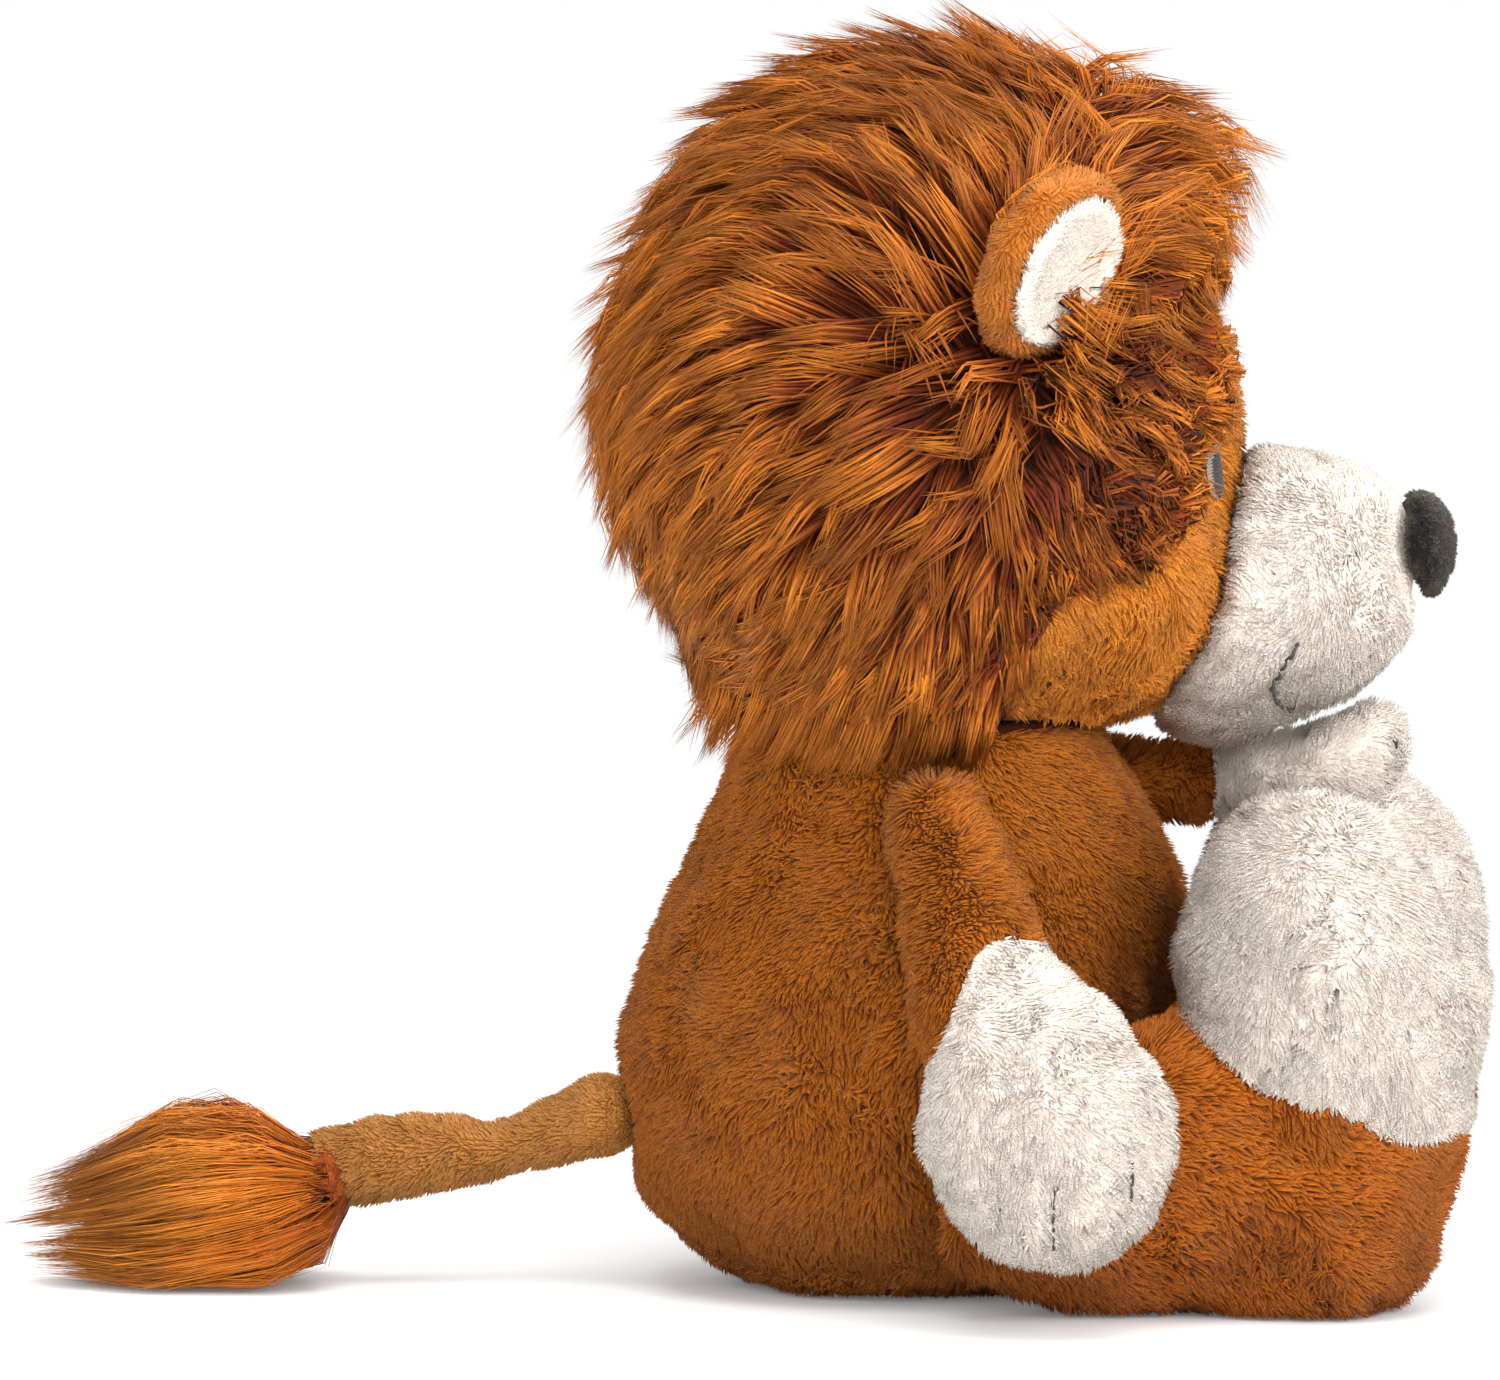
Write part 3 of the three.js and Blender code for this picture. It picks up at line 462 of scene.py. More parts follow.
class Skin:
    """A smooth backing surface of even triangles, some way under the outside of CAD nodes."""

    def __init__(self, nodes, depth, coarse, fine, fuller=0.4, rounds=8):
        fine = fine * SPACING
        mesh = finished(
            merged(nodes),
            ("REMESH", {"mode": "VOXEL", "voxel_size": coarse * MM}),
            ("SMOOTH", {"factor": 0.5, "iterations": rounds}),
            ("SUBSURF", {"levels": 1, "render_levels": 1}),
            ("REMESH", {"mode": "VOXEL", "voxel_size": fine}),
            ("SMOOTH", {"factor": 0.5, "iterations": 5}),
            ("TRIANGULATE", {"quad_method": "SHORTEST_DIAGONAL"}),
        )
        outside = tree_of(nodes)
        points, normals = points_of(mesh), normals_of(mesh)
        start = 7 * MM  # from so far out the CAD's outside is looked for
        found = np.zeros(len(points))
        for k, (point, normal) in enumerate(zip(points, normals)):
            hit = outside.ray_cast(Vector(point + normal * start), Vector(-normal), start * 2.5)
            found[k] = start - hit[3] if hit[0] is not None else 0.0
        edges = numbers(mesh.edges, "vertices", 2, np.int32)
        offset = smoothed(np.clip(found, -4 * MM, 5 * MM), edges, 60) + fuller * MM - depth
        set_points(mesh, points + normals * offset[:, None])
        self.mesh = mesh
        self.refresh()

    @classmethod
    def of(cls, mesh):
        """A skin that is a mesh as it stands."""
        skin = cls.__new__(cls)
        skin.mesh = mesh
        skin.refresh()
        return skin

    def refresh(self):
        """Reads the mesh again after its points have moved."""
        self.points, self.normals = points_of(self.mesh), normals_of(self.mesh)
        self.faces = numbers(self.mesh.loops, "vertex_index", 1, np.int32).reshape(-1, 3)
        self.centres = self.points[self.faces].mean(1)
        self.face_normals = unit(self.normals[self.faces].sum(1))

    def shift(self, moves):
        """Moves every point."""
        set_points(self.mesh, self.points + moves)
        self.refresh()

    def tree(self):
        """Search tree over the skin itself."""
        return BVHTree.FromPolygons(self.points.tolist(), self.faces.tolist())

    def draw_in(self, lines, depth, width):
        """Pulls the skin in along sewn lines."""
        gap = near(self.points, np.concatenate(lines))
        self.shift(-self.normals * (depth * (1 - fade(gap, 0.3 * width, width)))[:, None])

    def lump(self, height, size, seed):
        """Uneven stuffing under the skin."""
        self.shift(self.normals * (height * drift(self.points, size, seed)[:, :1]))

    def nearest(self, names):
        """For every face, the place in names of the CAD node that lies nearest."""
        trees = [tree_of([name]) for name in names]
        spots = [Vector(centre) for centre in self.centres]
        found = np.array([[tree.find_nearest(spot)[3] for tree in trees] for spot in spots])
        return found.argmin(1), found[:, 0] - found[:, 1]

    def border(self, values):
        """Values of the faces, evened out, with the sign turned round in stray patches."""
        count = np.bincount(self.faces.ravel(), minlength=len(self.points))
        total = np.bincount(self.faces.ravel(), np.repeat(values, 3), len(self.points))
        spread = total / np.maximum(count, 1)
        edges = numbers(self.mesh.edges, "vertices", 2, np.int32)
        linked = [[] for _ in self.points]
        for first, second in edges.tolist():
            linked[first].append(second)
            linked[second].append(first)
        side = (spread > 0).tolist()
        size = np.zeros(len(side), int)
        for start in range(len(side)):
            if size[start]:
                continue
            patch, size[start] = [start], 1
            for spot in patch:
                for other in linked[spot]:
                    if not size[other] and side[other] == side[spot]:
                        size[other] = 1
                        patch.append(other)
            size[patch] = len(patch)
        side = spread > 0
        stray = size < np.where(side, size[side].max(), size[~side].max())
        spread = smoothed(np.where(stray, -spread, spread), edges, int(20 / SPACING**2))
        return spread[self.faces].mean(1)


class Fibres:
    """A cloth backing with a fibre on every face, made into one closed piece."""

    def __init__(self, skin, keep, grows, rings, backing):
        self.rings = rings
        self.ids = np.flatnonzero(keep)
        bm = bmesh.new()
        bm.from_mesh(skin.mesh)
        strand = bm.faces.layers.int.new("strand")
        bm.faces.ensure_lookup_table()
        for k, face in enumerate(bm.faces):
            face[strand] = k
        left_out = [face for face in bm.faces if not keep[face[strand]]]
        bmesh.ops.delete(bm, geom=left_out, context="FACES")
        inner = list(bm.faces)
        bm.normal_update()
        moves = [(v, v.normal * backing) for v in bm.verts]
        outer = bmesh.ops.extrude_face_region(bm, geom=inner, use_keep_orig=True)["geom"]
        for vert, move in moves:
            vert.co -= move
        bmesh.ops.reverse_faces(bm, faces=inner)
        tops = [f for f in outer if isinstance(f, bmesh.types.BMFace) and grows[f[strand]]]
        ring = bm.verts.layers.int.new("ring")
        owner = bm.verts.layers.int.new("owner")
        corner = bm.verts.layers.int.new("corner")
        for step in range(1, rings):
            tops = bmesh.ops.extrude_discrete_faces(bm, faces=tops)["faces"]
            for face in tops:
                for k, vert in enumerate(face.verts):
                    vert[ring] = step
                    vert[owner] = face[strand]
                    vert[corner] = k
        for vert in bmesh.ops.poke(bm, faces=tops, offset=0.0)["verts"]:
            vert[ring] = rings
            vert[owner] = vert.link_faces[0][strand]
        self.mesh = mesh_from(bm, "fibres")
        self.skin = skin
        self.ring, self.owner = self.take("ring"), self.take("owner")
        self.corner, self.strand = self.take("corner"), self.take("strand")

    def take(self, name):
        """The values of one of the mesh's own layers, which is then removed."""
        layer = self.mesh.attributes[name]
        values = numbers(layer.data, "value", 1, np.int32)
        self.mesh.attributes.remove(layer)
        return values

    def place(self, paths, widths=None):
        """Moves the fibres' points: paths holds those from ring 1 on for each face of the skin."""
        points = points_of(self.mesh)
        moving = self.ring > 0
        owner, ring = self.owner[moving], self.ring[moving] - 1
        spot = paths[owner, ring]
        if widths is not None:
            corners = self.skin.points[self.skin.faces] - self.skin.centres[:, None]
            before = np.concatenate([self.skin.centres[:, None], paths[:, :-1]], axis=1)
            along = unit(paths - before)[owner, ring]
            side = corners[owner, self.corner[moving]]
            side = side - along * (side * along).sum(1, keepdims=True)
            spot = spot + side * widths[owner, ring][:, None]
        points[moving] = spot
        set_points(self.mesh, points)

    def colour(self, tones):
        """The map that the finish reads: the fibre's tone across it, the way along it upwards."""
        loops = numbers(self.mesh.loops, "vertex_index", 1, np.int32)
        starts = numbers(self.mesh.polygons, "loop_start", 1, np.int32)
        totals = numbers(self.mesh.polygons, "loop_total", 1, np.int32)
        face = np.repeat(np.arange(len(totals)), totals)
        turn = np.arange(len(loops)) - starts[face]
        ring = self.ring[loops]
        top = np.maximum.reduceat(ring, starts)
        low = np.minimum.reduceat(ring, starts)
        flat = (top == low)[face]
        tip = np.zeros(len(totals), int)
        np.maximum.at(tip, face, np.where(ring == top[face], turn, 0))
        pointed = np.choose((turn - tip[face]) % 3, [0.0, -1.0, 1.0])
        sides = np.where((turn == 0) | (turn == 3), -1.0, 1.0)
        across = np.where((totals == 3)[face], pointed, sides)
        across = np.where(flat, np.where(turn % 2 == 0, -1.0, 1.0), across)
        up = ring / self.rings
        up = np.where(flat, 0.02 * (turn > 1), up)
        tone = tones[self.strand[face]]
        u = np.clip(tone, 0.02, 0.98) + across * 0.008
        layer = self.mesh.uv_layers.new(name=BAKE_MAP)
        layer.data.foreach_set("uv", np.column_stack([u, up]).astype(np.float32).ravel())


def new_piece(name, mesh, material, node):
    """A smooth piece that takes a CAD node's place on its body."""
    mesh.name = name
    mesh.materials.clear()
    mesh.materials.append(material)
    mesh.polygons.foreach_set("use_smooth", np.ones(len(mesh.polygons), bool))
    mesh.update()
    made = add_object(name, mesh)
    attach(made, BODY_OF[node])
    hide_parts(node)


def near(points, others):
    """Distance from every point to the nearest of a few others."""
    gaps = np.full(len(points), 1.0)
    for other in others:
        gaps = np.minimum(gaps, np.linalg.norm(points - other, axis=1))
    return gaps


def near_either(points, spot):
    """Distance from every point to a spot on the left or its mirror image on the right."""
    return near(points * (1, 0, 1) + np.abs(points) * (0, 1, 0), [spot])


def within(points, centre, halves):
    """Tells which points are inside an ellipsoid."""
    return np.sum(((points - centre) / halves) ** 2, axis=1) < 1


def corners(node):
    """The lowest and the highest corner of a CAD node."""
    return [np.array(corner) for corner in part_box(node)]


def centre_line(node, axis, step=1.0 * MM):
    """Points along the middle of a CAD thread, in their order along an axis."""
    points = points_of(frame["nodes"][node].data)
    along = points @ np.asarray(axis, float)
    part = np.round((along - along.min()) / step)
    ends = np.array([points[part == k].mean(0) for k in np.unique(part)])
    reach = np.concatenate([[0], np.cumsum(np.linalg.norm(np.diff(ends, axis=0), axis=1))])
    even = np.linspace(0, reach[-1], max(int(reach[-1] / (0.5 * MM)), 4))
    line = np.column_stack([np.interp(even, reach, ends[:, k]) for k in range(3)])
    for _ in range(4):
        line[1:-1] = (line[:-2] + 2 * line[1:-1] + line[2:]) / 4
    return line


def stitches(line, tree, settings, heights, seed):
    """A run of stitches on a skin. It dips into the cloth between one stitch and the next."""
    heights = np.broadcast_to(heights, len(line))
    rng = np.random.default_rng(seed)
    along = np.arange(len(line)) * 0.5 * MM / settings.stitch
    raised = np.abs(np.sin(np.pi * (along + rng.uniform()))) ** 0.6
    path = []
    for point, up, height in zip(line, raised, heights):
        spot, normal = tree.find_nearest(Vector(point))[:2]
        path.append(np.array(spot) + np.array(normal) * height * (0.35 + 0.65 * up))
    path = np.array(path)
    path[1:-1] += 0.12 * MM * rng.normal(size=(len(path) - 2, 3))
    return path, 0.7 + 0.3 * raised


def thread_piece(name, node, material, radius, runs):
    """One piece made of threads; each run holds a thread's points and its thickness at them."""
    curve = bpy.data.curves.new(name, "CURVE")
    curve.dimensions = "3D"
    curve.bevel_depth = radius
    curve.bevel_resolution = 1
    curve.use_fill_caps = True
    for path, widths in runs:
        spline = curve.splines.new("POLY")
        spline.points.add(len(path) - 1)
        spots = np.column_stack([path, np.ones(len(path))])
        spline.points.foreach_set("co", spots.astype(np.float32).ravel())
        spline.points.foreach_set("radius", np.asarray(widths, np.float32))
    mesh = evaluated(add_object(name, curve))
    bm = bmesh.new()
    bm.from_mesh(mesh)
    bmesh.ops.remove_doubles(bm, verts=bm.verts, dist=1e-7)
    bm.to_mesh(mesh)
    bm.free()
    new_piece(name, mesh, material, node)


def thread_finish(name, tint):
    """Twisted cotton thread with a slight shine, and painted highlight on the raised crests of its
    twist.
    """
    finish = Finish(name)
    twist = finish.noise(1 / (0.3 * MM), 2.0)
    # Painted highlight: where the twist's bump is high the colour is lighter
    light = tuple(min(level * 2.2 + 0.02, 1) for level in tint[:3]) + (1,)
    base = finish.mix(twist * 0.6, tuple(tint), light)
    relief = finish.bump(twist, 0.7, 0.3 * MM)
    return finish.surface(Base_Color=base, Roughness=0.55, Sheen_Weight=0.1, Normal=relief)


def clumps(points, rng, every):
    """For every point, the place of the clump that it belongs to."""
    count = max(int(len(points) * every), 1)
    heads = rng.choice(len(points), count, replace=False)
    tree = KDTree(count)
    for k, head in enumerate(heads):
        tree.insert(Vector(points[head]), k)
    tree.balance()
    return heads, np.array([tree.find(Vector(p))[1] for p in points])


def along_skin(ways, normals):
    """Directions turned down into the surface that the normals stand on."""
    return unit(ways - normals * (ways * normals).sum(1, keepdims=True))


def lock_share(spacing, width):
    """Share of the hairs that head a tuft or lock of this width."""
    return min((spacing * SPACING) ** 2 / 2 / width**2, 1)


LIFT = 0.25 * MM  # the pile's tips stay this far above the floor


def plush_paths(skin, pile, comb, settings, seed, parted=True):
    """Tips of short plush: combed, wandering, parted here and there and drawn into small tufts."""
    rng = np.random.default_rng(seed)
    centres, normals = skin.centres, skin.face_normals
    # The combing wanders over long and over short distances, and from fibre to fibre
    way = np.broadcast_to(np.asarray(comb, float), centres.shape)
    way = way + 0.4 * drift(centres, 26 * MM, seed) + 0.2 * drift(centres, 7 * MM, seed + 1)
    way = along_skin(way + 0.2 * rng.normal(size=centres.shape), normals)
    tilt = settings.lean + 0.12 * drift(centres, 9 * MM, seed + 2)[:, :1]
    tilt = np.clip(tilt, 0.1, 0.92)
    dash = drift(centres * (1, 1, 2.4), 8 * MM, seed + 4)[:, 0]
    gap = settings.part * fade(dash, 0.75, 1.5) if parted else np.zeros(len(centres))
    size = (pile * (1 - 0.7 * gap) * (1 + 0.1 * rng.normal(size=len(centres))))[:, None]
    tips = centres + size * (normals * np.sqrt(1 - tilt**2) + way * tilt)
    heads, member = clumps(tips, rng, lock_share(settings.spacing, settings.tuft))
    pull = np.clip(settings.gather + 0.12 * rng.normal(size=len(tips)), 0, 0.8)[:, None]
    tips = tips + (tips[heads][member] - tips) * pull
    tips[:, 2] = np.maximum(tips[:, 2], LIFT)
    tuft_tone = rng.uniform(-1, 1, len(heads))[member]
    wave = drift(centres, 13 * MM, seed + 3)[:, 0]
    # The tone drops at the partings (0.8 * gap): painted shade in the gaps between tufts
    tone = 0.6 + 0.12 * wave + 0.08 * tuft_tone + 0.1 * rng.normal(size=len(centres)) - 0.8 * gap
    return tips[:, None], tone


def plush_piece(name, node, slot, finish, skin, pile, comb, seed, *, parted=True, **parts):
    """A cover of short plush. Keep tells its faces of the skin, and bald those without pile."""
    settings = settings_of("plush")
    keep = parts.get("keep", np.ones(len(skin.faces), bool))
    fibres = Fibres(skin, keep, keep & ~parts.get("bald", ~keep), 1, settings.backing)
    paths, tone = plush_paths(skin, pile, comb, settings, seed, parted)
    fibres.place(paths)
    fibres.colour(tone)
    new_piece(name, fibres.mesh, finish, node)


def settings_of(group):
    """One group of the settings in the sidebar."""
    return getattr(bpy.context.scene, "plush_lion_" + group)


class Maker:
    """What every operator of this file shares."""

    bl_options = {"REGISTER", "UNDO"}

    @classmethod
    def poll(cls, context):
        return context.mode == "OBJECT"


NECK = 111 * MM  # the torso's top above this height is hidden by the head


class LION_OT_torso(Maker, bpy.types.Operator):
    """Cover the torso in brown plush"""

    bl_idname = "lion.torso"
    bl_label = "Torso"

    def execute(self, context):
        plush = settings_of("plush")
        skin = Skin(["torso_cover", "torso_filling", "seat_pellet_bag"], 2.7 * MM, 5, plush.spacing)
        skin.lump(0.7 * MM, 30 * MM, 12)
        bald = (skin.centres[:, 2] > NECK) & (skin.face_normals[:, 2] > 0.75)
        finish = plush_finish("brown plush", plush.brown_root, plush.brown, 0.4)
        pile = np.full(len(skin.faces), plush.pile)
        front = skin.centres[:, 0] > 0
        down = (0, 0, -1)
        for name, panel in (("torso_plush_back", ~front), ("torso_plush_front", front)):
            seams = {"keep": panel, "bald": bald}
            plush_piece(name, "torso_cover", "brown_plush", finish, skin, pile, down, 11, **seams)
        return {"FINISHED"}


# Head

WHORL = np.array([25, 60, 194]) * MM  # the mane's hair is combed away from here, below each ear
PARTING = 36 * MM  # where the hair on the crown parts to the front and to the back
HEAD_CENTRE = np.array([9.5, 0, 177]) * MM
HEAD_RADII = np.array([60, 58, 63]) * MM
EAR_CENTRE = np.array([28.6, 62, 208.6]) * MM
EAR_HALVES = np.array([19, 20.5, 9]) * MM
LAP = np.array([37, 52, 195]) * MM  # the hair that grows here laps over the dish of the ear
LAP_PUSHES = ((-3, 6, 0), (-9, 11, 2), (-7, 13, 1))  # of a hair's rings, in millimetres


def ear_axes(side):
    """Across, up and outward axes of one ear."""
    up = unit(np.array([0.28, side * 0.3, 0.91]))
    out = np.array([0.75, side * 0.62, 0])
    out = unit(out - up * (out @ up))
    return np.array([np.cross(up, out), up, out])


def in_ear(points, side, halves=EAR_HALVES):
    """Points across, up and outward of an ear's middle, in half widths of the ear."""
    return (points - EAR_CENTRE * (1, side, 1)) @ ear_axes(side).T / halves


def out_of_ears(points, clear):
    """Pushes points out of both ears."""
    halves = EAR_HALVES * clear
    for side in (-1, 1):
        local = in_ear(points, side, halves)
        reach = np.linalg.norm(local, axis=-1, keepdims=True)
        inside = (reach < 1) & (local[..., 2:] < -0.1)
        outside = (local / np.maximum(reach, 0.05)) * halves @ ear_axes(side)
        points = np.where(inside, EAR_CENTRE * (1, side, 1) + outside, points)
    return points


def head_normal(points):
    """Which way is out of the head at points on or near it."""
    return unit((points - HEAD_CENTRE) / HEAD_RADII**2)


def mane_flow(points, stray):
    """Combing direction of the mane: away from each ear, and over the crown to front and back."""
    x, y, z = points.T
    side = np.where(y < 0, -1.0, 1.0)
    away = np.column_stack([x - WHORL[0], y - side * WHORL[1], z - WHORL[2]])
    away = unit(away + 1.8 * stray * (1, 0, 1))
    away[:, 2] -= 0.45 * fade(-x, 0.0, 45 * MM) * fade(-z, -215 * MM, -170 * MM)
    crown = fade(-np.abs(y), -56 * MM, -22 * MM)[:, None]
    parting = WHORL[0] + (PARTING - WHORL[0]) * crown[:, 0] + stray[:, 0]
    ahead = np.where(x > parting, 1.0, -1.0)
    fall = -0.1 - 0.9 * fade(-x, 0.0, 45 * MM)
    middle = np.column_stack([ahead, 0.25 * side * (1 - crown[:, 0]), fall])
    return unit(away * (1 - crown) + middle * crown)


class HeadShape:
    """The mane's outside, and the head where it has no mane."""

    def __init__(self):
        self.mane = tree_of(["mane"])
        self.head = tree_of(["head_filling"])
        hull = merged(["mane"])
        bmesh.ops.convex_hull(hull, input=hull.verts)
        bmesh.ops.delete(hull, geom=[v for v in hull.verts if not v.link_faces], context="VERTS")
        self.full = BVHTree.FromBMesh(hull)  # without the hollows that the ears stand in
        hull.free()

    def under(self, spots, depths):
        """Moves points to a depth under the mane, or just above the face. Tells the first kind."""
        placed, found = spots.copy(), np.zeros(len(spots), bool)
        beside_ear = near_either(spots, EAR_CENTRE) < 30 * MM
        reach = 40 * MM
        for k, (spot, normal) in enumerate(zip(spots, head_normal(spots))):
            ray = Vector(spot + normal * reach), Vector(-normal), 1.6 * reach
            hit = (self.full if beside_ear[k] else self.mane).ray_cast(*ray)
            if hit[0] is not None:
                placed[k] = np.array(hit[0]) - normal * depths[k]
                found[k] = True
                continue
            hit = self.head.ray_cast(*ray)
            if hit[0] is not None:
                placed[k] = np.array(hit[0]) + normal * (5.5 * MM - 0.3 * depths[k])
        return placed, found

    def beside(self, spots, reach):
        """Tells which points are over the face, but close to the mane's edge."""
        found = (self.mane.find_nearest(Vector(spot), reach)[0] for spot in spots)
        return np.array([place is not None for place in found])


BACK_SEAM = -14 * MM  # the mane's back panels lie behind this
TOP_SEAM = 205 * MM  # the mane's top panels lie above this
BROW = 173 * MM  # hair that is rooted near the eyes ends above this
EDGE = 127 * MM  # height of the mane's lower edge, over which the lowest hairs hang
LOWEST_TIP = 104.5 * MM
RISE = np.array([0.45, 0.82, 1.0])  # how far up each ring of a hair has come
WIDTHS = np.array([0.52, 0.36, 0.0])  # of each ring of a hair, as a share of the skin's faces
TRIES = 6  # a hair that ends off the mane is made shorter so often at most


def hangs(roots):
    """Tells which hairs are rooted low enough to hang over the mane's lower edge."""
    return (roots[:, 2] < EDGE + 10 * MM) & (roots[:, 0] < 24 * MM)


def combed(shape, roots, sizes, heights, risen, turn, stray):
    """Hairs that rise off the skin and lie along the mane's outside, and which end in the mane."""
    spot = roots.copy()
    path = []
    hanging = hangs(roots)
    low = 0.0
    for share in RISE:
        normal = head_normal(spot)
        way = along_skin(mane_flow(spot, stray), normal)
        way = unit(way + np.cross(normal, way) * turn[:, None])
        step = sizes / len(RISE)
        up = risen * (share - low)
        ahead = np.sqrt(np.maximum(step**2 - up**2, (0.35 * step) ** 2))
        onward = spot + way * ahead[:, None]
        over_edge = hanging & (onward[:, 2] < EDGE)
        falling = spot + unit(0.6 * way - np.array([0, 0, 0.9])) * step[:, None]
        spot, found = shape.under(onward, heights - risen * share)
        spot = np.where(over_edge[:, None], falling, spot)
        low = share
        path.append(spot.copy())
    return np.stack(path, 1), found


def lock_hairs(own, heads, member, gather, rng, scatter):
    """Draws the hairs of each lock together towards their tips."""
    rings = own.shape[1]
    lead = own[heads][member]
    along = (np.arange(1, rings + 1) / rings)[None, :, None]
    even = np.clip(1 + 0.25 * rng.normal(size=(len(own), 1, 1)), 0.1, 1.25)
    pull = np.reshape(gather, (-1, 1, 1)) * fade(along, 0.05, 0.95) * even
    mixed = own + (lead - own) * np.clip(pull, 0, 0.95)
    return mixed + scatter * along * rng.normal(size=(len(own), 1, 3))


def waves(roots, rings, turn, size, seed):
    """How far each ring of every hair swings to a side, for hairs that wave together."""
    swing = np.sin(np.arange(1, rings + 1) * turn)
    return swing[None, :, None] * drift(roots, size, seed)[:, None]


class LION_OT_face(Maker, bpy.types.Operator):
    """Cover the cheeks and forehead in golden plush, and the head behind them in long fur"""

    bl_idname = "lion.face"
    bl_label = "Face and mane"

    def execute(self, context):
        plush, mane = settings_of("plush"), settings_of("mane")
        skin = Skin(["head_filling"], -0.6 * MM, 5, mane.spacing, fuller=0.3)
        base = self.base(skin)
        fine = Skin(["head_filling"], -0.6 * MM, 5, plush.spacing, fuller=0.3)
        pile = np.full(len(fine.faces), plush.pile * 1.1)
        eyes = np.array([sum(corners(node)) / 2 for node in ("eye_right", "eye_left")])
        oval = (1, 1, 0.8)  # the short pile round an eye is taller than it is wide
        pile *= 0.12 + 0.88 * fade(near(fine.centres * oval, eyes * oval), 4.6 * MM, 7.5 * MM)
        gold = plush_finish("golden plush", plush.gold_root, plush.gold, 0.4)
        side = fine.centres[:, 1:2]
        outward = np.sign(side) * fade(np.abs(side), 0, 30 * MM)
        comb = unit(outward * (0, 0.35, 0) + (0.3, 0, -0.8))
        seams = {"keep": fine.nearest(["face_cover", "mane"])[0] == 0, "bald": self.base(fine)}
        plush_piece("face_plush", "face_cover", "gold_plush", gold, fine, pile, comb, 21, **seams)
        self.eyes(fine.tree(), settings_of("thread"))
        self.mane(skin, skin.nearest(["face_cover", "mane"])[0] == 1, base, eyes)
        return {"FINISHED"}

    def base(self, skin):
        """The round underside of the head that turns on the neck."""
        low = (skin.centres[:, 2] < 118.5 * MM) & (skin.face_normals[:, 2] < -0.6)
        from_neck = np.linalg.norm(skin.centres[:, :2] - (5 * MM, 0), axis=1)
        return low & (from_neck < 38 * MM)

    def eyes(self, tree, thread):
        """Each eye is an oval of grey satin stitches with a black one on it."""
        grey_thread = thread_finish("grey thread", thread.grey)
        black_thread = thread_finish("pupil thread", thread.black)
        for side in ("right", "left"):
            for part, finish, slot, height in (
                ("eye", grey_thread, "eye_thread", 1.3 * MM),
                ("pupil", black_thread, "black_thread", 1.9 * MM),
            ):
                node = f"{part}_{side}"
                runs = self.satin(node, tree, thread, height)
                name = f"{part}_thread_{side}"
                thread_piece(name, node, finish, thread.radius * 1.2, runs)

    def satin(self, node, tree, thread, height):
        """Rows of thread that fill the oval of a node, domed over a skin."""
        rng = np.random.default_rng(len(node))
        points = points_of(frame["nodes"][node].data)
        middle = (points.min(0) + points.max(0)) / 2
        normal = head_normal(middle) * (1, 1, 0)
        normal = normal / np.linalg.norm(normal)
        up = np.array([0.0, 0.0, 1.0])
        across = np.cross(up, normal)
        wide = np.ptp(points @ across) / 2
        tall = np.ptp(points[:, 2]) / 2
        runs = []
        for level in np.arange(-tall + 0.3 * thread.row, tall, thread.row):
            half = wide * math.sqrt(max(1 - (level / tall) ** 2, 0.02)) * rng.uniform(0.94, 1.04)
            path = []
            for place in np.linspace(-half, half, 9):
                start = middle + across * place + up * (level + 0.25 * place) + normal * 8 * MM
                hit = tree.ray_cast(Vector(start), Vector(-normal))
                dome = 1 - 0.75 * (place / wide) ** 2 - 0.2 * (level / tall) ** 2
                path.append(np.array(hit[0]) + normal * height * max(dome, 0.1))
            runs.append((np.array(path), np.full(9, rng.uniform(0.9, 1.1))))
        return runs

    def mane(self, skin, keep, base, eyes):
        """Long fur in six panels."""
        mane = settings_of("mane")
        rng = np.random.default_rng(31)
        centres = skin.centres
        x, y, z = centres.T
        shape = HeadShape()
        # How high the mane stands over each root, and where its short and its long hairs are
        surface, found = shape.under(centres, np.zeros(len(centres)))
        heights = np.where(found, np.linalg.norm(surface - centres, axis=1), 8 * MM)
        heights = np.clip(heights, 3 * MM, 26 * MM)
        fringe = fade(x, 8 * MM, 40 * MM) * fade(-z, -206 * MM, -182 * MM)
        forelock = fade(x, 30 * MM, 50 * MM) * fade(z, 196 * MM, 212 * MM)
        heads, member = clumps(centres, rng, lock_share(mane.spacing, mane.lock))
        lock = rng.normal(size=(len(heads), 4))[member]
        own = rng.normal(size=(len(centres), 2))
        loose = rng.uniform(size=len(centres)) < mane.under
        sizes = mane.hair * (1 - 0.36 * fringe + 0.22 * forelock)
        sizes = sizes * np.clip(1 + 0.1 * lock[:, 0] + 0.06 * own[:, 0], 0.65, 1.3)
        sizes = sizes * np.where(loose, 0.8, 1)
        rise = np.clip(1 + 0.07 * lock[:, 1], 0.85, 1.12) * np.where(loose, 0.78, 1)
        turn = lock[:, 2] * 0.2 * (1 + 0.9 * fringe)
        stray = np.column_stack([lock[:, 3], 0 * x, lock[:, 0]]) * 5 * MM
        brow = (x > 42 * MM) & (z > BROW - 2 * MM)
